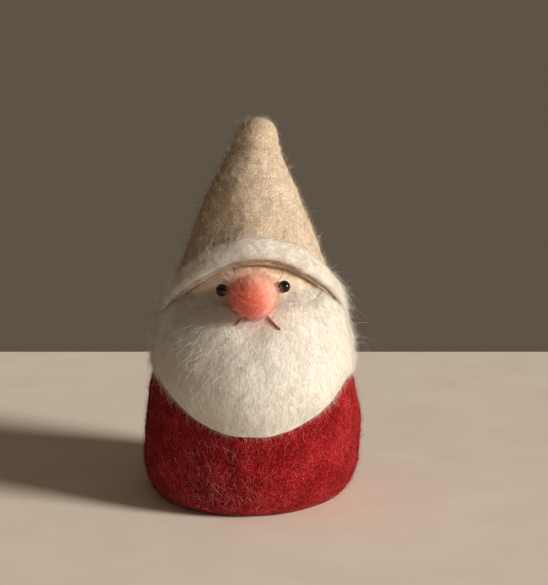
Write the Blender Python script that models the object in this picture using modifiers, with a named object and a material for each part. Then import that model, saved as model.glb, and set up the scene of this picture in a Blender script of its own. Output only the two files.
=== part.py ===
"""Needle-felted tomte gnome, 127 mm tall, as an assembly of separate wool, felt and thread pieces.

Frame: metres, +Z up, origin on the ground under the middle of the base, face towards -Y.
A felt sole and a red wool robe stand round a core-wool body. A core-wool head carries the face
layer, the nose, two bead eyes with their threads, the mouth stitches, the beard and the back hair.
The hat is a felt cone with a rolled band round its slanting rim and core wool in its point, and it
lifts off along +Z.
Sizes below are in millimetres; angles are in degrees round +Z from the front, positive to +X.
"""

import math

import bmesh
import bpy
import numpy as np
from mathutils import Vector

MM = 0.001
GAP = 0.3  # clearance between pieces that touch
STEPS = 40  # sides of the round pieces

# Outlines as (height, radius) stations, joined by a smooth curve.
ROBE = [
    (0, 28.6), (1.6, 31.7), (4, 33.6), (8, 35.2), (14, 36.2), (22, 36.2),
    (31, 35.2), (38, 33.9), (42, 32.8), (45.2, 30.4), (47.5, 24.3),
]
HEAD = [
    (47.8, 23.7), (50, 24.9), (54, 25.3), (60, 25.0), (66, 23.9), (70, 22.5),
    (75, 20.3), (80, 17.7), (85, 15.2), (90, 12.0), (94, 7.0),
]
BEARD_SIDE = [
    (40, 33.0), (45, 33.2), (49, 33.2), (53.6, 32.8), (59, 31.8), (64.6, 30.7), (70, 28.4), (76, 25.6),
]
BEARD_FRONT = [
    (28, 36.6), (33, 37.8), (39, 38.4), (45, 38.2), (53, 36.2), (59, 33.2), (64, 30.2), (68, 27.6), (73, 25),
]
HAT = [
    (44, 29.6), (53, 29.3), (60, 28.9), (66, 28.0), (70, 27.0), (75.5, 24.9), (79.5, 23.2), (86.3, 20.7),
    (99.6, 15.4), (112.9, 9.9), (119.5, 7.5), (122.8, 6.3), (125, 4.7), (126.4, 2.8), (127, 0.8),
]

# Robe, base and cores
ROBE_THICKNESS = 3.0
ROBE_INNER_SHOULDER = (27.4, 43.6)  # (radius, height) where its inner side turns in to the neck
ROBE_NECK_RADIUS = 24.0
ROBE_NECK_HEIGHT = 45.6
BASE_OPENING_RADIUS = 26.0
SHOULDER = 42  # height where the robe starts to close in
BASE_FELT_THICKNESS = 2.0
CORE_TOP = 45.0
HEAD_TOP = 95.2

# Face layer
FACE_THICKNESS = 1.5
FACE_HALF_ANGLE = 72
FACE_LOW = 50
FACE_UNDER_HAT = 2.5  # how far the layer goes up past the hat's rim

# Nose and eyes
NOSE_RADIUS = 7.5
NOSE_CENTRE = (0.0, -29.0, 73.5)
BEAD_RADIUS = 2.0
BEAD_HOLE_RADIUS = 0.5
BEAD_STAND_OFF = 1.4  # from the face layer's surface to the bead's middle
EYES = {"left": (-24.5, 74.0), "right": (25.2, 75.0)}  # (angle, height)
THREAD_RADIUS = 0.2
THREAD_SIDE = 2.7  # from the bead's middle to each leg of its thread
THREAD_BEND = 0.6
KNOT_ANGLE = 166
KNOT_HEIGHT = 84
KNOT_STAND_OFF = 0.5  # from the head's surface to the knot's middle
KNOT_RADII = (1.5, 0.8, 0.8)
KNOT_LEG = 0.75

# Mouth stitches, as the (angle, height) of their ends
STITCHES = {"left": ((-8.2, 65.5), (-12.4, 63.6)), "right": ((10.2, 66.2), (15.5, 63.0))}
STITCH_RADIUS = 0.24
STITCH_DEPTH = 1.6

# Beard and back hair
BEARD_END_ANGLE = 81.4
HAIR_START_ANGLE = 82.2
BEARD_LOWEST = 28.7
BEARD_RISE = 14.2
BEARD_TOP = 70.2
BEARD_TOP_TILT = 1.4  # how much higher its upper edge is to +X
MOUTH_DIP = 5.2
MOUTH_DIP_ANGLE = 15
HAIR_LOW = 43.6
WOOL_BELOW_FELT = 0.6  # from the hat's edge down to the white wool
LIP = 2.8  # how far in from its edge a wool layer reaches its full thickness
CHIN_LIP = 9.0  # the same for the beard's lowest edge, at the front

# Hat
HAT_THICKNESS = 1.8
RIM_TURN = 3  # the rim's highest point is this far round to +X
RIM_WAVES = (67.0, 17.8, 2.8, -1.2)  # mean height of the rim, then its first three waves round the head
RIM_BELOW_BAND = 4.0  # from the band's middle down to the felt's edge
BAND_HALF_WIDTH = 3.3
BAND_HALF_BACK, BAND_HALF_FRONT = 1.1, 1.9  # half its thickness
LEAN_START = 113
LEAN = 2.4  # how far the tip leans to +X
LEAN_POWER = 1.2  # 1 leans in a straight line; more than 1 bends it
CAVITY_TOP = 121
STUFFING_LOW = 97.2

COLOURS = {
    "base_felt": (0.30, 0.02, 0.03), "robe": (0.42, 0.02, 0.03), "body_core": (0.78, 0.72, 0.60),
    "head_core": (0.80, 0.74, 0.62), "face": (0.85, 0.62, 0.44), "nose": (0.72, 0.16, 0.10),
    "eye_bead": (0.01, 0.01, 0.01), "eye_thread": (0.02, 0.02, 0.02), "mouth_stitch": (0.30, 0.02, 0.02),
    "beard": (0.88, 0.84, 0.74), "back_hair": (0.86, 0.82, 0.72), "hat_shell": (0.56, 0.44, 0.30),
    "hat_band": (0.86, 0.82, 0.72), "hat_stuffing": (0.80, 0.74, 0.62),
}


def smooth_curve(stations):
    """A smooth curve through (height, radius) stations that never overshoots them."""
    z, r = np.array(stations, float).T
    step = np.diff(r) / np.diff(z)
    slope = np.concatenate([[step[0]], np.zeros(len(z) - 2), [step[-1]]])
    for i in range(1, len(z) - 1):
        if step[i - 1] * step[i] > 0:
            slope[i] = 2 / (1 / step[i - 1] + 1 / step[i])

    def radius(height):
        at = min(max(height, z[0]), z[-1])
        i = min(int(np.searchsorted(z, at, side="right")) - 1, len(z) - 2)
        width = z[i + 1] - z[i]
        t = (at - z[i]) / width
        start = (1 + 2 * t) * (1 - t) ** 2 * r[i] + t * (1 - t) ** 2 * width * slope[i]
        end = t * t * (3 - 2 * t) * r[i + 1] + t * t * (t - 1) * width * slope[i + 1]
        return start + end

    return radius


robe_radius = smooth_curve(ROBE)
head_radius = smooth_curve(HEAD)
beard_side = smooth_curve(BEARD_SIDE)
beard_front = smooth_curve(BEARD_FRONT)
hat_radius = smooth_curve(HAT)


def around(angle, radius, height):
    """The point at an angle from the front, a distance from the axis and a height."""
    a = math.radians(angle)
    return Vector((radius * math.sin(a), -radius * math.cos(a), height))


def rim_height(angle):
    """Height of the middle of the band: high over the face, low at the back."""
    a = math.radians(angle - RIM_TURN)
    return sum(size * math.cos(wave * a) for wave, size in enumerate(RIM_WAVES))


def felt_edge(angle):
    """Height of the hat's lower edge, just under the band."""
    return rim_height(angle) - RIM_BELOW_BAND


def lean(height):
    """How far the hat's middle is moved to +X at a height."""
    above = max(0.0, (height - LEAN_START) / (HAT[-1][0] - LEAN_START))
    return LEAN * above**LEAN_POWER


def face_surface(height):
    """Radius of the face layer's outer side."""
    return head_radius(height) + GAP + FACE_THICKNESS


def under_wool(height):
    """Radius of the inner side of the beard: over the robe, then over the face layer."""
    over_robe = robe_radius(min(height, SHOULDER)) + GAP
    over_face = face_surface(max(height, FACE_LOW)) + GAP
    share = min(max((height - SHOULDER) / (FACE_LOW - SHOULDER), 0), 1)
    share = share * share * (3 - 2 * share)
    bridged = over_robe + (over_face - over_robe) * share
    return max(bridged, robe_radius(height) + 2 * GAP)


def beard_low(angle):
    """Height of the beard's lower edge, a round bib."""
    round_to_side = math.radians(min(abs(angle) * 1.2, 90))
    return BEARD_LOWEST + BEARD_RISE * math.sin(round_to_side) ** 1.8


def beard_high(angle):
    """Height of the beard's upper edge: it dips under the nose and stays below the hat."""
    dip = MOUTH_DIP * math.exp(-((angle / MOUTH_DIP_ANGLE) ** 2))
    top = BEARD_TOP + BEARD_TOP_TILT * math.sin(math.radians(angle)) - dip
    return min(top, felt_edge(angle) - WOOL_BELOW_FELT)


def beard_surface(angle, height):
    """Radius of the beard's outer side, before its edges are rounded."""
    front = max(0.0, math.cos(math.radians(angle))) ** 2
    return beard_side(height) * (1 - front) + beard_front(height) * front


def edge_share(distance, lip=LIP):
    """Share of the full thickness at a distance in from a layer's edge."""
    t = min(max(distance / lip, 0.0), 1.0)
    return 0.12 + 0.88 * math.sqrt(1 - (1 - t) ** 2)


def wool_surface(angle, height):
    """Radius of the beard's rounded outer side."""
    inner = under_wool(height)
    chin = LIP + (CHIN_LIP - LIP) * max(0.0, math.cos(math.radians(angle)))
    low_share = edge_share(height - beard_low(angle), chin)
    share = min(low_share, edge_share(beard_high(angle) - height))
    return inner + (beard_surface(angle, height) - inner) * share


# Building tools


def new_object(name, mesh, colour_name=None):
    """Links a mesh as a part of the gnome with its own material."""
    made = bpy.data.objects.new(name, mesh)
    parts.objects.link(made)
    material = bpy.data.materials.new(name)
    material.use_nodes = True
    shader = material.node_tree.nodes["Principled BSDF"]
    shader.inputs["Base Color"].default_value = (*COLOURS[colour_name or name], 1)
    shader.inputs["Roughness"].default_value = 0.08 if colour_name == "eye_bead" else 0.9
    shader.inputs["Metallic"].default_value = 0
    made.data.materials.append(material)
    return made


def outline_mesh(name, outline):
    """An outline of (radius, height) points, given down its outer side, closed if off the axis."""
    mesh = bpy.data.meshes.new(name)
    count = len(outline)
    edges = [(i, i + 1) for i in range(count - 1)]
    if outline[0][0] > 0:
        edges.append((count - 1, 0))
    mesh.from_pydata([(r * MM, 0, z * MM) for r, z in outline], edges, [])
    return mesh


def turn(made):
    """Turns an object's outline round +Z."""
    screw = made.modifiers.new("turn", "SCREW")
    screw.steps = STEPS
    screw.render_steps = STEPS
    screw.use_merge_vertices = True
    screw.merge_threshold = 0.00001
    screw.use_smooth_shade = True
    return made


def turned(name, outline):
    """A part turned from an outline."""
    return turn(new_object(name, outline_mesh(name, outline)))


def loft(name, rings, looped):
    """Skins rings with the same number of points; the end rings are capped unless it is looped."""
    bm = bmesh.new()
    rows = [[bm.verts.new(Vector(p) * MM) for p in ring] for ring in rings]
    pairs = list(zip(rows, rows[1:], strict=False))
    if looped:
        pairs.append((rows[-1], rows[0]))
    else:
        bm.faces.new(rows[0])
        bm.faces.new(rows[-1])
    for first, second in pairs:
        for i in range(len(first)):
            j = (i + 1) % len(first)
            bm.faces.new((first[i], first[j], second[j], second[i]))
    bmesh.ops.recalc_face_normals(bm, faces=bm.faces)
    mesh = bpy.data.meshes.new(name)
    bm.to_mesh(mesh)
    bm.free()
    mesh.shade_smooth()
    return new_object(name, mesh)


def cutter(name, mesh):
    """Links a mesh as a cutter, which isn't a part."""
    made = bpy.data.objects.new(name, mesh)
    cutters.objects.link(made)
    made.hide_render = True
    made.display_type = "WIRE"
    return made


def boolean(target, tool, operation="DIFFERENCE"):
    """Cuts or joins a tool into a target with an exact Boolean."""
    change = target.modifiers.new(tool.name, "BOOLEAN")
    change.operation = operation
    change.solver = "EXACT"
    change.object = tool


def rod_mesh(name, start, end, radius, sides=8):
    """A straight round rod between two points."""
    bm = bmesh.new()
    along = end - start
    bmesh.ops.create_cone(
        bm, cap_ends=True, segments=sides, radius1=radius * MM, radius2=radius * MM, depth=along.length * MM
    )
    placing = along.to_track_quat("Z", "Y").to_matrix().to_4x4()
    placing.translation = (start + end) / 2 * MM
    bmesh.ops.transform(bm, matrix=placing, verts=bm.verts)
    mesh = bpy.data.meshes.new(name)
    bm.to_mesh(mesh)
    bm.free()
    return mesh


def ball_mesh(name, centre, radii, segments, rings, axis=None):
    """A ball or an egg about a centre, its first radius along an axis."""
    bm = bmesh.new()
    bmesh.ops.create_uvsphere(bm, u_segments=segments, v_segments=rings, radius=MM)
    bmesh.ops.scale(bm, vec=radii, verts=bm.verts)
    placing = (axis or Vector((1, 0, 0))).to_track_quat("X", "Z").to_matrix().to_4x4()
    placing.translation = Vector(centre) * MM
    bmesh.ops.transform(bm, matrix=placing, verts=bm.verts)
    mesh = bpy.data.meshes.new(name)
    bm.to_mesh(mesh)
    bm.free()
    mesh.shade_smooth()
    return mesh


def thread_mesh(name, points, radius):
    """A thread along points, as one closed mesh."""
    data = bpy.data.curves.new(name, "CURVE")
    data.dimensions = "3D"
    data.bevel_depth = radius * MM
    data.bevel_resolution = 1
    data.use_fill_caps = True
    spline = data.splines.new("POLY")
    spline.points.add(len(points) - 1)
    for place, p in zip(spline.points, points, strict=True):
        place.co = (*(Vector(p) * MM), 1)
    wire = bpy.data.objects.new(name, data)
    cutters.objects.link(wire)
    bpy.context.view_layer.update()
    mesh = bpy.data.meshes.new_from_object(wire.evaluated_get(bpy.context.evaluated_depsgraph_get()))
    bpy.data.objects.remove(wire)
    bm = bmesh.new()
    bm.from_mesh(mesh)
    bmesh.ops.remove_doubles(bm, verts=bm.verts, dist=0.000001)
    bmesh.ops.recalc_face_normals(bm, faces=bm.faces)
    bm.to_mesh(mesh)
    bm.free()
    mesh.shade_smooth()
    return mesh


def staple(first, second, inward, depth, bend):
    """Points of a thread that runs from one point to another and turns inward at both ends."""
    along = (second - first).normalized()
    corner = []
    for share in (0.0, 0.5, 1.0):
        a = share * math.pi / 2
        corner.append((bend * (1 - math.sin(a)), bend * (1 - math.cos(a))))
    start = [first + along * x + inward * y for x, y in corner]
    end = [second - along * x + inward * y for x, y in corner]
    return [first + inward * depth, *reversed(start), *end, second + inward * depth]


# Body


def make_base_felt():
    """The felt sole let into the bottom of the robe."""
    bm = bmesh.new()
    radius = (BASE_OPENING_RADIUS - GAP) * MM
    depth = BASE_FELT_THICKNESS * MM
    bmesh.ops.create_cone(bm, cap_ends=True, segments=STEPS, radius1=radius, radius2=radius, depth=depth)
    bmesh.ops.translate(bm, vec=(0, 0, depth / 2), verts=bm.verts)
    mesh = bpy.data.meshes.new("base_felt")
    bm.to_mesh(mesh)
    bm.free()
    new_object("base_felt", mesh)


def make_robe():
    """The red wool layer: a thick skin round the body, open at the neck and the base."""
    outer_heights = [47.5, 46.6, 45.2, 42, 38, 31, 22, 14, 8, 4, 1.6, 0]
    outer = [(robe_radius(z), z) for z in outer_heights]
    seat = BASE_FELT_THICKNESS + GAP
    inner = [(robe_radius(z) - ROBE_THICKNESS, z) for z in (7, 18, 30, 40)]
    neck = [ROBE_INNER_SHOULDER, (ROBE_NECK_RADIUS, ROBE_NECK_HEIGHT)]
    turned("robe", [*outer, (BASE_OPENING_RADIUS, 0), (BASE_OPENING_RADIUS, seat), *inner, *neck])


def make_body_core():
    """Core wool that fills the robe down to the sole."""
    outer = [(robe_radius(z) - ROBE_THICKNESS - GAP, z) for z in (39.6, 30, 18, 7.4)]
    shoulder_radius, shoulder_height = ROBE_INNER_SHOULDER
    shoulder = (shoulder_radius - GAP, shoulder_height - 2 * GAP)
    top = [(0, CORE_TOP), (ROBE_NECK_RADIUS - GAP, CORE_TOP), shoulder]
    bottom = BASE_FELT_THICKNESS + GAP
    turned("body_core", [*top, *outer, (BASE_OPENING_RADIUS - GAP, bottom), (0, bottom)])


# Head


def make_head_core():
    """Core wool ball of the head, with a short neck that stands in the robe's opening."""
    heights = [94, 92.4, 90, 85, 80, 75, 70, 66, 60, 54, 50, 47.8]
    outer = [(head_radius(z), z) for z in heights]
    foot = CORE_TOP + GAP
    neck = ROBE_NECK_RADIUS - GAP
    return turned("head_core", [(0, HEAD_TOP), *outer, (neck, foot), (0, foot)])


def make_face():
    """The peach wool layer over the front of the head."""
    sections = []
    for angle in np.linspace(-FACE_HALF_ANGLE, FACE_HALF_ANGLE, 21):
        heights = np.linspace(FACE_LOW, felt_edge(angle) + FACE_UNDER_HAT, 9)
        outer = [around(angle, face_surface(z), z) for z in heights]
        inner = [around(angle, head_radius(z) + GAP, z) for z in reversed(heights)]
        sections.append([*outer, *inner])
    return loft("face", sections, looped=False)


def make_nose():
    """The felted ball, hollowed at the back where it sits on the face and the beard."""
    nose = new_object("nose", ball_mesh("nose", NOSE_CENTRE, (NOSE_RADIUS,) * 3, 24, 16))
    heights = np.linspace(NOSE_CENTRE[2] - 2 * NOSE_RADIUS, NOSE_CENTRE[2] + 2 * NOSE_RADIUS, 12)
    outline = [(face_surface(z) + GAP, z) for z in reversed(heights)]
    seat = outline_mesh("nose_seat", [(0, heights[-1]), *outline, (0, heights[0])])
    boolean(nose, turn(cutter("nose_seat", seat)))


def make_eye(side, face, head):
    """A glass bead with its thread, which runs through the head to a knot at the back."""
    angle, height = EYES[side]
    outward = around(angle, 1, 0)
    across = Vector((-outward.y, outward.x, 0))
    centre = around(angle, face_surface(height) + BEAD_STAND_OFF, height)
    bead = new_object(
        f"eye_bead_{side}", ball_mesh(f"eye_bead_{side}", centre, (BEAD_RADIUS,) * 3, 20, 12), "eye_bead"
    )
    reach = across * (BEAD_RADIUS + 1)
    hole = cutter(f"bead_hole_{side}", rod_mesh("hole", centre - reach, centre + reach, BEAD_HOLE_RADIUS))
    boolean(bead, hole)
    pocket = cutter(f"pocket_{side}", ball_mesh("pocket", centre, (BEAD_RADIUS + GAP,) * 3, 16, 10))
    boolean(face, pocket)

    sign = math.copysign(1, angle)
    knot = around(sign * KNOT_ANGLE, head_radius(KNOT_HEIGHT) + KNOT_STAND_OFF, KNOT_HEIGHT)
    knot_along = Vector((1, 0, 0))
    legs = []
    for way in (-1, 1):
        leg_start = centre + across * (way * THREAD_SIDE)
        leg_end = knot + knot_along * (way * KNOT_LEG)
        legs.append((leg_start, leg_end))
        inward = (leg_end - leg_start).normalized()
        channel = rod_mesh("channel", leg_start, leg_end + inward * 2, THREAD_RADIUS + GAP)
        tool = cutter(f"channel_{side}_{way}", channel)
        boolean(face, tool)
        boolean(head, tool)
    (first, first_end), (second, second_end) = legs
    back = ((first_end - first).normalized() + (second_end - second).normalized()).normalized()
    run = staple(first, second, back, THREAD_BEND * 1.5, THREAD_BEND)
    points = [first_end, *run[1:-1], second_end]
    thread = new_object(
        f"eye_thread_{side}", thread_mesh(f"eye_thread_{side}", points, THREAD_RADIUS), "eye_thread"
    )
    ball = cutter(f"knot_{side}", ball_mesh("knot", knot, KNOT_RADII, 12, 8, knot_along))
    boolean(thread, ball, "UNION")
    seat_radii = [radius + 1.5 * GAP for radius in KNOT_RADII]
    seat = cutter(f"knot_seat_{side}", ball_mesh("knot_seat", knot, seat_radii, 12, 8, knot_along))
    boolean(head, seat)


def make_stitch(side, beard, face):
    """One thread stitch of the mouth, which lies on the wool and dips into it at both ends."""
    (start_angle, start_height), (end_angle, end_height) = STITCHES[side]
    run = []
    for share in np.linspace(0, 1, 8):
        angle = start_angle + (end_angle - start_angle) * share
        height = start_height + (end_height - start_height) * share
        run.append(around(angle, wool_surface(angle, height) + 2 * GAP + STITCH_RADIUS, height))
    inward = -around((start_angle + end_angle) / 2, 1, 0)
    bend = inward * STITCH_RADIUS
    points = [run[0] + inward * STITCH_DEPTH, run[0] + bend, *run[1:-1]]
    points += [run[-1] + bend, run[-1] + inward * STITCH_DEPTH]
    name = f"mouth_stitch_{side}"
    new_object(name, thread_mesh(name, points, STITCH_RADIUS), "mouth_stitch")
    for number, end in enumerate((run[0], run[-1])):
        deep = end + inward * (STITCH_DEPTH + GAP)
        tool = cutter(f"stitch_hole_{side}_{number}", rod_mesh("hole", end, deep, STITCH_RADIUS + 1.5 * GAP))
        boolean(beard, tool)
        boolean(face, tool)


def make_beard():
    """The thick white bib of wool from under the eyes to the chest."""
    sections = []
    for angle in np.linspace(-BEARD_END_ANGLE, BEARD_END_ANGLE, 27):
        low, high = beard_low(angle), beard_high(angle)
        share = (1 - np.cos(np.linspace(0, math.pi, 13))) / 2
        heights = low + (high - low) * share
        outer = [around(angle, wool_surface(angle, z), z) for z in heights]
        inner = [around(angle, under_wool(z), z) for z in reversed(heights)]
        sections.append([*outer, *inner])
    return loft("beard", sections, looped=False)


def make_back_hair():
    """White wool round the back of the head, below the hat."""
    sections = []
    for angle in np.linspace(HAIR_START_ANGLE, 360 - HAIR_START_ANGLE, 25):
        low, high = HAIR_LOW, felt_edge(angle) - WOOL_BELOW_FELT
        heights = low + (high - low) * (1 - np.cos(np.linspace(0, math.pi, 9))) / 2
        outer = []
        for z in heights:
            share = edge_share(min(z - low, high - z))
            outer.append(around(angle, under_wool(z) + (beard_side(z) - under_wool(z)) * share, z))
        inner = [around(angle, under_wool(z), z) for z in reversed(heights)]
        sections.append([*outer, *inner])
    return loft("back_hair", sections, looped=False)


# Hat


def hat_ring(height_share, top, inset):
    """A ring of the hat: a share of the way from the rim up to a height, inset from its surface."""
    ring = []
    for angle in np.linspace(0, 360, STEPS, endpoint=False):
        low = felt_edge(angle)
        z = low + (top - low) * height_share
        ring.append(around(angle, hat_radius(z) - inset, z) + Vector((lean(z), 0, 0)))
    return ring


def make_hat_shell():
    """The felt cone, open at its slanting rim, with its point leaning a little to +X."""
    outer_shares = [1.0, 0.985, 0.95, 0.88, 0.78, 0.66, 0.52, 0.38, 0.25, 0.13, 0.04, 0.0]
    inner_shares = [0.0, 0.13, 0.25, 0.38, 0.52, 0.66, 0.78, 0.9, 1.0]
    outer = [hat_ring(share, HAT[-1][0], 0) for share in outer_shares]
    inner = [hat_ring(share, CAVITY_TOP, HAT_THICKNESS) for share in inner_shares]
    return loft("hat_shell", [*outer, *inner], looped=False)


def rim_point(angle):
    """The point of the hat's surface behind the middle of the band."""
    height = rim_height(angle)
    return around(angle, hat_radius(height), height)


def make_hat_band():
    """The rolled wool band round the rim, flat against the felt and square to its own path."""
    sections = []
    for angle in np.linspace(0, 360, STEPS + 8, endpoint=False):
        place = rim_point(angle)
        along = (rim_point(angle + 2) - rim_point(angle - 2)).normalized()
        slope = (hat_radius(place.z + 1) - hat_radius(place.z - 1)) / 2
        up_felt = around(angle, slope, 1).normalized()
        out = along.cross(up_felt).normalized()
        across = out.cross(along)
        front = max(0.0, math.cos(math.radians(angle - RIM_TURN))) ** 2
        half = BAND_HALF_BACK + (BAND_HALF_FRONT - BAND_HALF_BACK) * front
        middle = place + out * (half + 2 * GAP)
        section = []
        for t in np.linspace(0, 2 * math.pi, 12, endpoint=False):
            section.append(middle + out * (half * math.cos(t)) + across * (BAND_HALF_WIDTH * math.sin(t)))
        sections.append(section)
    return loft("hat_band", sections, looped=True)


def make_hat_stuffing():
    """Core wool in the hat's point."""
    rings = []
    for z in np.linspace(STUFFING_LOW, CAVITY_TOP - 2 * GAP, 7):
        radius = hat_radius(z) - HAT_THICKNESS - 2 * GAP
        ring = [around(angle, radius, z) for angle in np.linspace(0, 360, STEPS, endpoint=False)]
        rings.append([p + Vector((lean(z), 0, 0)) for p in ring])
    return loft("hat_stuffing", rings, looped=False)


def hang_on_lift_axis(pieces):
    """Parents the hat's pieces to an empty on the line that the hat lifts along."""
    axis = bpy.data.objects.new("hat_lift_axis", None)
    parts.objects.link(axis)
    axis.location = (0, 0, RIM_WAVES[0] * MM)
    for piece in pieces:
        piece.parent = axis
        piece.location = (0, 0, -RIM_WAVES[0] * MM)


for old in list(bpy.data.objects):
    bpy.data.objects.remove(old)

parts = bpy.data.collections.new("tomte_gnome")
cutters = bpy.data.collections.new("cutters")
bpy.context.scene.collection.children.link(parts)
bpy.context.scene.collection.children.link(cutters)

make_base_felt()
make_robe()
make_body_core()
head_piece = make_head_core()
face_piece = make_face()
make_nose()
beard_piece = make_beard()
make_back_hair()
for eye_side in EYES:
    make_eye(eye_side, face_piece, head_piece)
for stitch_side in STITCHES:
    make_stitch(stitch_side, beard_piece, face_piece)
hang_on_lift_axis([make_hat_shell(), make_hat_band(), make_hat_stuffing()])
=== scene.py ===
import logging
import math
from collections.abc import Sequence
from dataclasses import dataclass, field
from enum import Enum

import bmesh
import bpy
import numpy as np
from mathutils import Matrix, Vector


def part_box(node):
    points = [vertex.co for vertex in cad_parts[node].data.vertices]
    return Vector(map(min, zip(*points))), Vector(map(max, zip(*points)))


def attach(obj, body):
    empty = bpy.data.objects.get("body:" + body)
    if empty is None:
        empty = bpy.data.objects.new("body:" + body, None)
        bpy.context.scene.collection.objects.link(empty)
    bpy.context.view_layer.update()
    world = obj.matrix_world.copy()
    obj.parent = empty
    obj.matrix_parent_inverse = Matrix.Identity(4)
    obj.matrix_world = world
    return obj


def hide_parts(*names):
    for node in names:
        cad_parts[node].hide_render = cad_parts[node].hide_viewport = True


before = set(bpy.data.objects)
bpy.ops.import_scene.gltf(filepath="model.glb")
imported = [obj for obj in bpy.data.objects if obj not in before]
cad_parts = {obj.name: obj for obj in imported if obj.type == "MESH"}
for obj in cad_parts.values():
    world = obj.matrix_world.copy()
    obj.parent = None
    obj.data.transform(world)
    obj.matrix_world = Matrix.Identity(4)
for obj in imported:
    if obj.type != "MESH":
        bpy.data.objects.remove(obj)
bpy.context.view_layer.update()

# Looks of a needle-felted tomte gnome: red wool robe, soft white beard, felted face and nose,
# glass bead eyes, thread mouth, and an oatmeal felt hat with a rolled wool band.
# Shapes are worked out in millimetres and turned to metres when a mesh is made. +Z is up and the
# face looks towards -Y. Angles are in degrees round +Z from the front, positive to +X.
# Each sub-assembly is a class that builds its meshes, dresses them and hands them to the frame.

MM = 0.001
log = logging.getLogger("tomte")

Colour = tuple[float, float, float]
Array = np.ndarray


class Body(Enum):
    """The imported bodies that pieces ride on."""

    FIGURE = "body"
    HAT = "hat"


class Slot(Enum):
    """The record's material slots."""

    SOLE = "sole_felt"
    ROBE = "red_wool"
    CORE = "core_wool"
    SKIN = "skin_wool"
    NOSE = "nose_wool"
    BEAD = "bead_glass"
    EYE_THREAD = "black_thread"
    MOUTH_THREAD = "mouth_thread"
    WHITE = "white_wool"
    HAT = "hat_felt"


# Form: the surfaces that the pieces share


@dataclass(frozen=True)
class Outline:
    """A turned outline: (height, radius) stations joined by a smooth curve."""

    stations: tuple[tuple[float, float], ...]

    def radius(self, height: Array | float) -> Array:
        """Radius at each height, which never overshoots the stations."""
        z, r = np.array(self.stations, float).T
        step = np.diff(r) / np.diff(z)
        slope = np.concatenate([[step[0]], np.zeros(len(z) - 2), [step[-1]]])
        for i in range(1, len(z) - 1):
            if step[i - 1] * step[i] > 0:
                slope[i] = 2 / (1 / step[i - 1] + 1 / step[i])
        at = np.clip(height, z[0], z[-1])
        i = np.clip(np.searchsorted(z, at, side="right") - 1, 0, len(z) - 2)
        width = z[i + 1] - z[i]
        t = (at - z[i]) / width
        start = (1 + 2 * t) * (1 - t) ** 2 * r[i] + t * (1 - t) ** 2 * width * slope[i]
        return start + t * t * (3 - 2 * t) * r[i + 1] + t * t * (t - 1) * width * slope[i + 1]


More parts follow.
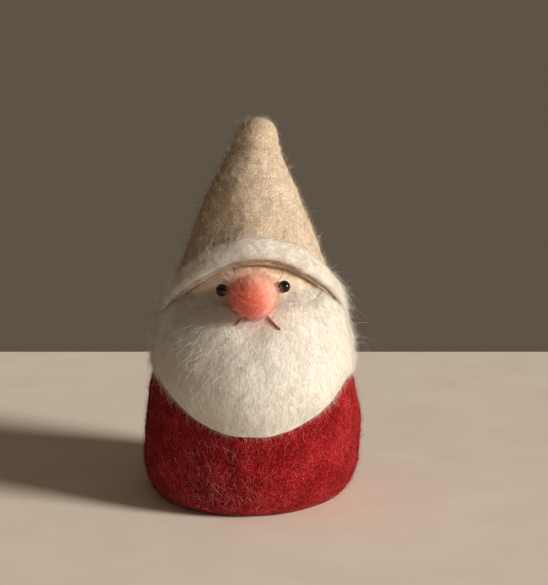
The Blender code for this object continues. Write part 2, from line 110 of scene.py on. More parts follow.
@dataclass(frozen=True)
class GnomeForm:
    """The gnome's surfaces, with the same sizes as the solid model."""

    gap: float = 0.3
    robe: Outline = Outline(
        (
            (0, 28.6), (1.6, 31.7), (4, 33.6), (8, 35.2), (14, 36.2), (22, 36.2),
            (31, 35.2), (38, 33.9), (42, 32.8), (45.2, 30.4), (47.5, 24.3),
        )
    )
    head: Outline = Outline(
        (
            (47.8, 23.7), (50, 24.9), (54, 25.3), (60, 25.0), (66, 23.9), (70, 22.5),
            (75, 20.3), (80, 17.7), (85, 15.2), (90, 12.0), (94, 7.0),
        )
    )
    beard_side: Outline = Outline(
        (
            (40, 33.0), (45, 33.2), (49, 33.2), (53.6, 32.8), (59, 31.8),
            (64.6, 30.7), (70, 28.4), (76, 25.6),
        )
    )
    beard_front: Outline = Outline(
        (
            (28, 36.6), (33, 37.8), (39, 38.4), (45, 38.2), (53, 36.2),
            (59, 33.2), (64, 30.2), (68, 27.6), (73, 25),
        )
    )
    hat: Outline = Outline(
        (
            (44, 29.6), (53, 29.3), (60, 28.9), (66, 28.0), (70, 27.0), (75.5, 24.9),
            (79.5, 23.2), (86.3, 20.7), (99.6, 15.4), (112.9, 9.9), (119.5, 7.5),
            (122.8, 6.3), (125, 4.7), (126.4, 2.8), (127, 0.8),
        )
    )
    tip: float = 127.0
    shoulder: float = 42.0
    face_low: float = 50.0
    face_thickness: float = 1.5
    rim_turn: float = 3.0
    rim_waves: tuple[float, ...] = (67.0, 17.8, 2.8, -1.2)
    rim_below_band: float = 4.0
    lean: float = 2.4
    lean_start: float = 113.0
    beard_lowest: float = 29.1
    beard_rise: float = 13.8
    beard_round: float = 2.4
    beard_top: float = 70.2
    beard_top_tilt: float = 1.4
    mouth_dip: float = 5.2
    mouth_dip_angle: float = 15.0
    hair_low: float = 43.6
    join_angle: float = 81.8
    wool_below_felt: float = 0.6
    low_lip: float = 4.4
    high_lip: float = 2.8
    chin_lip: float = 9.0
    top_feather: float = 8.0
    top_share: float = 0.45
    puff_height: float = 6.0
    brow_puff: float = 1.3
    hat_thickness: float = 1.8
    cheek_drop: float = 1.6
    swell: float = 3.2
    swell_height: float = 46.0

    def rim_height(self, angle: Array) -> Array:
        """Height of the middle of the band: high over the face, low at the back."""
        a = np.radians(angle - self.rim_turn)
        return sum(size * np.cos(wave * a) for wave, size in enumerate(self.rim_waves))

    def felt_edge(self, angle: Array) -> Array:
        """Height of the hat's lower edge, just under the band."""
        return self.rim_height(angle) - self.rim_below_band

    def lean_at(self, height: Array) -> Array:
        """How far the hat's middle is moved to +X at a height."""
        share = (height - self.lean_start) / (self.tip - self.lean_start)
        return self.lean * np.clip(share, 0, 1) ** 1.2

    def face_surface(self, height: Array) -> Array:
        """Radius of the face layer's outer side."""
        return self.head.radius(height) + self.gap + self.face_thickness

    def under_wool(self, height: Array) -> Array:
        """Radius of the inner side of the beard and the back hair."""
        over_robe = self.robe.radius(np.minimum(height, self.shoulder)) + self.gap
        over_face = self.face_surface(np.maximum(height, self.face_low)) + self.gap
        share = smooth(height, self.shoulder, self.face_low)
        bridged = over_robe + (over_face - over_robe) * share
        return np.maximum(bridged, self.robe.radius(height) + 2 * self.gap)

    def beard_low(self, angle: Array) -> Array:
        """Height of the beard's lower edge, a round bib."""
        round_to_side = np.radians(np.minimum(np.abs(angle) * 1.2, 90))
        return self.beard_lowest + self.beard_rise * np.sin(round_to_side) ** self.beard_round

    def beard_high(self, angle: Array) -> Array:
        """Height of the beard's upper edge: it dips under the nose and stays below the hat."""
        dip = self.mouth_dip * np.exp(-((angle / self.mouth_dip_angle) ** 2))
        top = self.beard_top + self.beard_top_tilt * np.sin(np.radians(angle)) - dip
        return np.minimum(top, self.felt_edge(angle) - self.wool_below_felt)

    def cheek_line(self, angle: Array) -> Array:
        """Height of the wool's upper edge, which sinks a little below the solid's at the cheeks."""
        cheek = smooth(np.abs(angle), 18, 42) * (1 - smooth(np.abs(angle), 50, 64))
        return self.beard_high(angle) - self.cheek_drop * cheek

    def puffed_face(self, angle: Array, height: Array) -> Array:
        """Radius of the face wool, which swells to lie level with the beard's upper edge."""
        edge = self.cheek_line(angle)
        level = self.top_share * (self.full_beard(angle, edge) - self.under_wool(edge)) + 0.06
        above = height - edge
        share = smooth(above, -0.9, -0.15) * (1 - smooth(above, 0, self.puff_height))
        plain = self.face_surface(height)
        room = self.hat.radius(height) - self.hat_thickness - 0.4 - plain
        brow = np.clip(room, 0, self.brow_puff) * smooth(height - self.felt_edge(angle), -7, -2)
        return plain + np.maximum(np.maximum(level, 0) * share, brow)

    def full_beard(self, angle: Array, height: Array) -> Array:
        """Radius of the beard's outer side before its edges are rounded."""
        front = np.maximum(0, np.cos(np.radians(angle)))
        full = self.beard_side.radius(height) * (1 - front**2)
        full = full + self.beard_front.radius(height) * front**2
        return full + self.swell * front**2 * np.exp(-(((height - self.swell_height) / 13) ** 2))

    def wool_low(self, angle: Array) -> Array:
        """Height of the lower edge of the beard and of the back hair, which meet at the side."""
        behind = smooth(np.abs(angle), self.join_angle, self.join_angle + 14)
        start = self.beard_low(self.join_angle)
        return np.where(behind > 0, start + (self.hair_low - start) * behind, self.beard_low(angle))

    def wool_high(self, angle: Array) -> Array:
        """Height of the upper edge of the beard and of the back hair."""
        behind = self.felt_edge(angle) - self.wool_below_felt
        return np.where(np.abs(angle) > self.join_angle, behind, self.cheek_line(angle))

    def wool_surface(self, angle: Array, height: Array) -> Array:
        """Radius of the outer side of the beard and the back hair with its edges rounded."""
        front = np.maximum(0, np.cos(np.radians(angle))) ** 2
        lip = self.low_lip + (self.chin_lip - self.low_lip) * front
        low = rounded(height - self.wool_low(angle), lip)
        below = self.wool_high(angle) - height
        thinned = self.top_share + (1 - self.top_share) * smooth(below, 0, self.top_feather)
        feathered = thinned * rounded(below, 0.2)
        side = smooth(np.abs(angle), 52, 80)
        high = feathered + (rounded(below, self.high_lip) - feathered) * side
        inner = self.under_wool(height)
        return inner + (self.full_beard(angle, height) - inner) * low * high


def smooth(value: Array, low: float, high: float) -> Array:
    """0 below low, 1 above high, and a soft step between."""
    t = np.clip((value - low) / (high - low), 0, 1)
    return t * t * (3 - 2 * t)


def rounded(distance: Array, lip: Array | float) -> Array:
    """Share of the full thickness at a distance in from a layer's edge."""
    t = np.clip(distance / lip, 0, 1)
    return 0.12 + 0.88 * np.sqrt(1 - (1 - t) ** 2)


def around(angle: Array, radius: Array, height: Array) -> Array:
    """Points at an angle from the front, a distance from the axis and a height."""
    a = np.radians(angle)
    flat = np.broadcast_arrays(radius * np.sin(a), -radius * np.cos(a), height)
    return np.stack(flat, axis=-1)


def unit(vectors: Array) -> Array:
    """The same ways with length 1."""
    return vectors / np.linalg.norm(vectors, axis=-1, keepdims=True)


def spot(value: Array, centre: Array | float, width: float) -> Array:
    """1 at the centre, and softly down toward 0 beyond a width either side of it."""
    return np.exp(-(((value - centre) / width) ** 2))


def angle_of(points: Array) -> Array:
    """Angle of each point from the front."""
    return np.degrees(np.arctan2(points[:, 0], -points[:, 1]))


def eased(low: Array, high: Array, count: int) -> Array:
    """Values from low to high that crowd towards both ends, one row for each value."""
    share = (1 - np.cos(np.linspace(0, math.pi, count))) / 2
    return low + (high - low) * share


FORM = GnomeForm()


@dataclass(frozen=True)
class Lumps:
    """Unevenness of a felted surface, as a seeded sum of waves."""

    size: float
    height: float
    seed: int
    stretch: tuple[float, float, float] = (1.0, 1.0, 1.0)

    def at(self, points: Array) -> Array:
        """Height of the unevenness at each point, in mm."""
        random = np.random.default_rng(self.seed)
        count = 28
        way = random.normal(size=(count, 3))
        way /= np.linalg.norm(way, axis=1)[:, None]
        wave = 2 * math.pi / (self.size * random.uniform(0.6, 1.6, count))
        start = random.uniform(0, 2 * math.pi, count)
        flat = (points / np.array(self.stretch)) @ (way * wave[:, None]).T + start
        return self.height * math.sqrt(2 / count) * np.cos(flat).sum(axis=1)


# Meshes


def skin(name: str, rings: Array, looped: bool) -> bpy.types.Mesh:
    """Makes a closed surface through rings with the same number of points.

    Args:
        name: Name of the mesh.
        rings: Points of the rings in mm, shaped (rings, points, 3).
        looped: True if the last ring joins the first, False if both ends are capped.

    Returns:
        The mesh in metres, with its faces pointing outwards.
    """
    index = np.arange(rings.shape[0] * rings.shape[1]).reshape(rings.shape[:2])
    first, second = (index, np.roll(index, -1, axis=0)) if looped else (index[:-1], index[1:])
    corners = [first, np.roll(first, -1, axis=1), np.roll(second, -1, axis=1), second]
    faces = np.stack(corners, axis=-1).reshape(-1, 4).tolist()
    if not looped:
        faces += [index[0].tolist(), index[-1].tolist()]
    mesh = bpy.data.meshes.new(name)
    mesh.from_pydata((rings.reshape(-1, 3) * MM).tolist(), [], faces)
    bm = bmesh.new()
    bm.from_mesh(mesh)
    bmesh.ops.triangulate(bm, faces=[f for f in bm.faces if len(f.verts) > 4])
    bmesh.ops.recalc_face_normals(bm, faces=bm.faces)
    bm.to_mesh(mesh)
    bm.free()
    mesh.shade_smooth()
    return mesh


def points_of(mesh: bpy.types.Mesh) -> Array:
    """The mesh's points in mm."""
    flat = np.empty(len(mesh.vertices) * 3)
    mesh.vertices.foreach_get("co", flat)
    return flat.reshape(-1, 3) / MM


def set_points(mesh: bpy.types.Mesh, points: Array) -> None:
    """Moves the mesh's points to places in mm."""
    mesh.vertices.foreach_set("co", (points * MM).ravel())
    mesh.update()


def roughen(mesh: bpy.types.Mesh, lumps: Sequence[Lumps], share: Array | float = 1.0) -> None:
    """Moves each point along its normal by the lumps, as far as its share says."""
    points = points_of(mesh)
    normals = np.empty(len(mesh.vertices) * 3)
    mesh.vertex_normals.foreach_get("vector", normals)
    height = sum(lump.at(points) for lump in lumps) * share
    set_points(mesh, points + normals.reshape(-1, 3) * height[:, None])


def paint(mesh: bpy.types.Mesh, name: str, values: Array) -> None:
    """Stores a number on each point of the mesh, for its material or its fibres."""
    layer = mesh.attributes.get(name) or mesh.attributes.new(name, "FLOAT", "POINT")
    layer.data.foreach_set("value", np.ascontiguousarray(values, np.float32))


def comb(mesh: bpy.types.Mesh, ways: Array) -> None:
    """Stores the way that the fibres run at each point of the mesh."""
    layer = mesh.attributes.get("grain") or mesh.attributes.new("grain", "FLOAT_VECTOR", "POINT")
    layer.data.foreach_set("vector", np.ascontiguousarray(ways, np.float32).ravel())


def felted_copy(
    node: str, name: str, voxel: float, lumps: Sequence[Lumps], evened: int = 0
) -> bpy.types.Mesh:
    """Makes a fine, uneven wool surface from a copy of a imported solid.

    Args:
        node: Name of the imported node.
        name: Name of the new mesh.
        voxel: Size of its faces in mm.
        lumps: Unevenness of its surface.
        evened: How many times its small steps are smoothed out.

    Returns:
        The new mesh.
    """
    holder = bpy.data.objects.new(name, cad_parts[node].data.copy())
    bpy.context.scene.collection.objects.link(holder)
    bm = bmesh.new()
    bm.from_mesh(holder.data)
    bmesh.ops.remove_doubles(bm, verts=bm.verts, dist=0.00001)
    bm.to_mesh(holder.data)
    bm.free()
    remesh = holder.modifiers.new("even_faces", "REMESH")
    remesh.mode = "VOXEL"
    remesh.voxel_size = voxel * MM
    if evened:
        rubbed = holder.modifiers.new("rubbed_smooth", "SMOOTH")
        rubbed.factor = 0.5
        rubbed.iterations = evened
    seen = holder.evaluated_get(bpy.context.evaluated_depsgraph_get())
    mesh = bpy.data.meshes.new_from_object(seen)
    bpy.data.objects.remove(holder)
    mesh.name = name
    mesh.materials.clear()
    mesh.shade_smooth()
    roughen(mesh, lumps)
    return mesh


def new_piece(mesh: bpy.types.Mesh, material: bpy.types.Material) -> bpy.types.Object:
    """Links a mesh as an object that wears one material."""
    made = bpy.data.objects.new(mesh.name, mesh)
    mesh.materials.clear()
    mesh.materials.append(material)
    bpy.context.scene.collection.objects.link(made)
    return made


def hand_over(
    piece: bpy.types.Object,
    body: Body,
    replaces: Sequence[str] = (),
) -> None:
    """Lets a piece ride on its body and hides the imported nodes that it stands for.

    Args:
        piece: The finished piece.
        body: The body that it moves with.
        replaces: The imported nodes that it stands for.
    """
    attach(piece, body.value)
    if replaces:
        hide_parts(*replaces)
    log.info("%s rides on %s with %d faces", piece.name, body.value, len(piece.data.polygons))


def dress_node(node: str, material: bpy.types.Material) -> None:
    """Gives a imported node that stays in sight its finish."""
    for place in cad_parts[node].material_slots:
        place.link = "OBJECT"
        place.material = material
    log.info("%s keeps its packed mesh", node)


# Finishes


class Wiring:
    """Adds nodes to one tree and links them."""

    def __init__(self, tree: bpy.types.NodeTree) -> None:
        """Keeps the tree that the nodes go in."""
        self.tree = tree

    def add(
        self, kind: str, inputs: dict[int | str, object] | None = None, **settings: object
    ) -> bpy.types.Node:
        """Adds a node.

        Args:
            kind: Blender's name of the node type.
            inputs: A socket to link or a value for each input, by its place or name.
            settings: Values of the node's own settings.

        Returns:
            The node.
        """
        node = self.tree.nodes.new(kind)
        for name, value in settings.items():
            setattr(node, name, value)
        for key, value in (inputs or {}).items():
            if isinstance(value, bpy.types.NodeSocket):
                self.tree.links.new(value, node.inputs[key])
            else:
                node.inputs[key].default_value = value
        return node

    def painted(self, name: str) -> bpy.types.NodeSocket:
        """Adds a node that reads a painted value by its name in a geometry tree."""
        kind = "GeometryNodeInputNamedAttribute"
        return self.add(kind, {"Name": name}, data_type="FLOAT").outputs[0]

    def maths(self, operation: str, first: object, second: object = 0.0) -> bpy.types.NodeSocket:
        """Adds a Math node and returns its result."""
        return self.add("ShaderNodeMath", {0: first, 1: second}, operation=operation).outputs[0]

    def vectors(self, operation: str, first: object, second: object) -> bpy.types.NodeSocket:
        """Adds a Vector Math node, whose second input is a number for SCALE."""
        key = "Scale" if operation == "SCALE" else 1
        values = {0: first, key: second}
        return self.add("ShaderNodeVectorMath", values, operation=operation).outputs[0]

    def ramp(self, share: object, stops: Sequence[tuple[float, Colour]]) -> bpy.types.NodeSocket:
        """Adds a Color Ramp with stops and returns its colour."""
        node = self.add("ShaderNodeValToRGB", {0: share})
        colours = node.color_ramp.elements
        while len(colours) < len(stops):
            colours.new(0.5)
        for element, (place, colour) in zip(colours, stops, strict=True):
            element.position = place
            element.color = (*colour, 1)
        return node.outputs["Color"]

    def mix(self, share: object, first: object, second: object) -> bpy.types.NodeSocket:
        """Adds a colour Mix node and returns its result."""
        node = self.add("ShaderNodeMix", data_type="RGBA")
        for place, value in ((0, share), (6, first), (7, second)):
            if isinstance(value, bpy.types.NodeSocket):
                self.tree.links.new(value, node.inputs[place])
            else:
                full = (*value, 1) if isinstance(value, tuple) else value
                node.inputs[place].default_value = full
        return node.outputs[2]


def new_material(name: str) -> tuple[bpy.types.Material, Wiring, bpy.types.Node]:
    """Makes a node material and returns it with its wiring and its shader."""
    material = bpy.data.materials.new(name)
    material.use_nodes = True
    return material, Wiring(material.node_tree), material.node_tree.nodes["Principled BSDF"]


@dataclass(frozen=True)
class Tint:
    """A second colour that shows where a painted number says."""

    painted: str
    colour: Colour
    strength: float = 1.0


@dataclass(frozen=True)
class WoolFinish:
    """Felted or combed wool: fibres of several shades, soft clouds of colour and a fibre grain."""

    name: str
    deep: Colour
    mid: Colour
    pale: Colour
    fibre: float = 0.35
    stretch: tuple[float, float, float] = (1.0, 1.0, 1.0)
    clouds: float = 9.0
    relief: float = 0.25
    contrast: float = 0.16
    cloud_share: float = 0.4
    sheen: float = 0.35
    gloss: float = 0.2
    softness: float = 0.0
    tints: tuple[Tint, ...] = ()

    def material(self) -> bpy.types.Material:
        """Builds the wool surface's material."""
        made, wiring, shader = new_material(self.name)
        places = wiring.add("ShaderNodeTexCoord").outputs["Object"]
        squeeze = tuple(1 / s for s in self.stretch)
        along = wiring.add("ShaderNodeMapping", {"Vector": places, "Scale": squeeze})
        grain = wiring.add(
            "ShaderNodeTexNoise",
            {
                "Vector": along.outputs[0],
                "Scale": 1 / (self.fibre * MM),
                "Detail": 5.0,
                "Roughness": 0.62,
            },
        ).outputs["Fac"]
        cloud = wiring.add(
            "ShaderNodeTexNoise",
            {"Vector": places, "Scale": 1 / (self.clouds * MM), "Detail": 3.0, "Roughness": 0.6},
        ).outputs["Fac"]
        clouds = wiring.maths("MULTIPLY", cloud, self.cloud_share)
        shade = wiring.maths("ADD", clouds, wiring.maths("MULTIPLY", grain, 1 - self.cloud_share))
        colour = wiring.ramp(
            shade,
            [(0.5 - self.contrast, self.deep), (0.5, self.mid), (0.5 + self.contrast, self.pale)],
        )
        for tint in self.tints:
            painted = wiring.add("ShaderNodeAttribute", attribute_name=tint.painted).outputs["Fac"]
            share = wiring.maths("MULTIPLY", painted, tint.strength)
            colour = wiring.mix(share, colour, tint.colour)
        bump = wiring.add(
            "ShaderNodeBump", {"Height": grain, "Distance": self.relief * MM, "Strength": 0.8}
        ).outputs[0]
        rough = wiring.maths("ADD", wiring.maths("MULTIPLY", grain, 0.15), 0.82)
        wiring.tree.links.new(colour, shader.inputs["Base Color"])
        wiring.tree.links.new(bump, shader.inputs["Normal"])
        wiring.tree.links.new(rough, shader.inputs["Roughness"])
        shader.inputs["Sheen Weight"].default_value = self.sheen
        shader.inputs["Sheen Roughness"].default_value = 0.5
        shader.inputs["Specular IOR Level"].default_value = self.gloss
        shader.inputs["Subsurface Weight"].default_value = self.softness
        shader.inputs["Subsurface Scale"].default_value = 0.002
        shader.inputs["Subsurface Radius"].default_value = (1.0, 0.8, 0.6)
        return made

    def fibres(self) -> bpy.types.Material:
        """Builds the material of the loose fibres that lie on the wool."""
        made, wiring, shader = new_material(f"{self.name}_fibres")
        tone = wiring.add("ShaderNodeAttribute", attribute_name="tone").outputs["Fac"]
        colour = wiring.ramp(tone, [(0.05, self.deep), (0.45, self.mid), (0.95, self.pale)])
        for tint in self.tints:
            painted = wiring.add("ShaderNodeAttribute", attribute_name=tint.painted).outputs["Fac"]
            share = wiring.maths("MULTIPLY", painted, tint.strength * 0.8)
            colour = wiring.mix(share, colour, tint.colour)
        wiring.tree.links.new(colour, shader.inputs["Base Color"])
        shader.inputs["Roughness"].default_value = 0.75
        shader.inputs["Sheen Weight"].default_value = self.sheen
        shader.inputs["Specular IOR Level"].default_value = self.gloss
        return made


@dataclass(frozen=True)
class BeadGlass:
    """Black opaque glass with the faint polish marks of a moulded bead."""

    name: str = "black_bead_glass"
    colour: Colour = (0.006, 0.005, 0.005)

    def material(self) -> bpy.types.Material:
        """Builds the bead's material."""
        made, wiring, shader = new_material(self.name)
        places = wiring.add("ShaderNodeTexCoord").outputs["Object"]
        haze = wiring.add(
            "ShaderNodeTexNoise", {"Vector": places, "Scale": 900.0, "Detail": 3.0}
        ).outputs["Fac"]
        rough = wiring.maths("ADD", wiring.maths("MULTIPLY", haze, 0.1), 0.05)
        wiring.tree.links.new(rough, shader.inputs["Roughness"])
        dark = wiring.ramp(haze, [(0.3, self.colour), (0.7, (0.012, 0.01, 0.01))])
        wiring.tree.links.new(dark, shader.inputs["Base Color"])
        shader.inputs["Specular IOR Level"].default_value = 0.25
        shader.inputs["Coat Weight"].default_value = 0.15
        shader.inputs["Coat Roughness"].default_value = 0.04
        return made


@dataclass(frozen=True)
class ThreadFinish:
    """Spun cotton thread, with darker and lighter fibres along it."""

    name: str
    dark: Colour
    light: Colour

    def material(self) -> bpy.types.Material:
        """Builds the thread's material."""
        made, wiring, shader = new_material(self.name)
        places = wiring.add("ShaderNodeTexCoord").outputs["Object"]
        spun = wiring.add(
            "ShaderNodeTexNoise", {"Vector": places, "Scale": 6000.0, "Detail": 3.0}
        ).outputs["Fac"]
        colour = wiring.ramp(spun, [(0.35, self.dark), (0.65, self.light)])
        wiring.tree.links.new(colour, shader.inputs["Base Color"])
        bump = wiring.add("ShaderNodeBump", {"Height": spun, "Distance": 0.00004}).outputs[0]
        wiring.tree.links.new(bump, shader.inputs["Normal"])
        shader.inputs["Roughness"].default_value = 0.7
        shader.inputs["Sheen Weight"].default_value = 0.2
        return made


ROBE_WOOL = WoolFinish(
    "red_robe_wool",
    deep=(0.035, 0.001, 0.001),
    mid=(0.22, 0.002, 0.004),
    pale=(0.66, 0.06, 0.065),
    fibre=0.5,
    relief=0.4,
    contrast=0.17,
    cloud_share=0.25,
    sheen=0.03,
    gloss=0.08,
)
WHITE_WOOL = WoolFinish(
    "white_beard_wool",
    deep=(0.61, 0.555, 0.475),
    mid=(0.81, 0.77, 0.69),
    pale=(0.92, 0.90, 0.85),
    fibre=0.5,
    stretch=(1.0, 1.0, 2.0),
    relief=0.3,
    contrast=0.17,
    cloud_share=0.2,
    sheen=0.2,
    tints=(Tint("blush", (0.86, 0.62, 0.58), 0.55),),
)
BAND_WOOL = WoolFinish(
    "white_band_wool",
    deep=(0.56, 0.49, 0.405),
    mid=(0.81, 0.76, 0.68),
    pale=(0.92, 0.89, 0.84),
    fibre=0.45,
    stretch=(2.0, 2.0, 1.0),
    relief=0.24,
    contrast=0.17,
    cloud_share=0.25,
    sheen=0.2,
    softness=0.4,
)
FACE_WOOL = WoolFinish(
    "peach_face_wool",
    deep=(0.74, 0.50, 0.34),
    mid=(0.90, 0.74, 0.58),
    pale=(0.95, 0.87, 0.75),
    relief=0.08,
    softness=0.4,
    tints=(
        Tint("pale", (0.92, 0.88, 0.80), 0.9),
        Tint("blush", (0.86, 0.44, 0.33), 0.75),
        # Painted shade: the next tint darkens the face just under the hat's edge
        Tint("crease_shade", (0.74, 0.47, 0.27), 0.4),
    ),
)
NOSE_WOOL = WoolFinish(
    "coral_nose_wool",
    deep=(0.52, 0.05, 0.03),
    mid=(0.80, 0.14, 0.08),
    pale=(0.94, 0.40, 0.28),
    fibre=0.3,
    relief=0.16,
    contrast=0.17,
    cloud_share=0.2,
    softness=0.3,
    # Paler peach at the nose's rim, with a painted highlight on its lit side
    tints=(Tint("edge", (0.94, 0.60, 0.46), 0.92),),
)
HAT_FELT = WoolFinish(
    "oatmeal_hat_felt",
    deep=(0.32, 0.225, 0.15),
    mid=(0.61, 0.485, 0.35),
    pale=(0.84, 0.74, 0.60),
    fibre=0.48,
    relief=0.45,
    contrast=0.18,
    cloud_share=0.18,
    sheen=0.15,
    # Tints: brownish blotches with painted shade on the hat's left side, and golden felt with
    # painted warm shade in the crevice under the band
    tints=(Tint("brown_and_shade", (0.33, 0.18, 0.105), 0.85), Tint("rim", (0.70, 0.43, 0.21), 0.9)),
)
FLECKS = WoolFinish(
    "pink_fleck_wool",
    deep=(0.35, 0.09, 0.10),
    mid=(0.55, 0.24, 0.25),
    pale=(0.80, 0.52, 0.52),
    sheen=0.1,
)
CORE_WOOL = WoolFinish(
    "undyed_core_wool",
    deep=(0.50, 0.43, 0.31),
    mid=(0.74, 0.67, 0.53),
    pale=(0.88, 0.83, 0.72),
    fibre=0.6,
)
SOLE_FELT = WoolFinish(
    "dark_red_sole_felt",
    deep=(0.10, 0.003, 0.005),
    mid=(0.24, 0.008, 0.012),
    pale=(0.36, 0.03, 0.04),
    sheen=0.2,
)
EYE_THREAD = ThreadFinish("black_eye_thread", (0.004, 0.004, 0.004), (0.035, 0.03, 0.03))
MOUTH_THREAD = ThreadFinish("dark_red_mouth_thread", (0.07, 0.01, 0.006), (0.50, 0.09, 0.045))


# Geometry Nodes


def group_inputs(tree: bpy.types.NodeTree) -> dict[str, str]:
    """The identifier of each named input of a node group."""
    sockets = [item for item in tree.interface.items_tree if item.item_type == "SOCKET"]
    return {item.name: item.identifier for item in sockets if item.in_out == "INPUT"}


def grow(
    name: str,
    base: bpy.types.Mesh,
    tree: bpy.types.NodeTree,
    values: dict[str, object],
    material: bpy.types.Material,
) -> bpy.types.Object:
    """Runs a node group on a mesh and keeps the result as a plain piece.

    Args:
        name: Name of the new piece.
        base: The mesh that the group starts from.
        tree: The node group.
        values: A value for each named input.
        material: The piece's material, which is the group's last input.

    Returns:
        The new piece, without modifiers.
    """
    holder = bpy.data.objects.new(f"{name}_holder", base)
    bpy.context.scene.collection.objects.link(holder)
    modifier = holder.modifiers.new("grow", "NODES")
    modifier.node_group = tree
    names = group_inputs(tree)
    for key, value in {**values, "Material": material}.items():
        modifier[names[key]] = value
    graph = bpy.context.evaluated_depsgraph_get()
    mesh = bpy.data.meshes.new_from_object(
        holder.evaluated_get(graph), preserve_all_data_layers=True, depsgraph=graph
    )
    bpy.data.objects.remove(holder)
    mesh.name = name
    return new_piece(mesh, material)


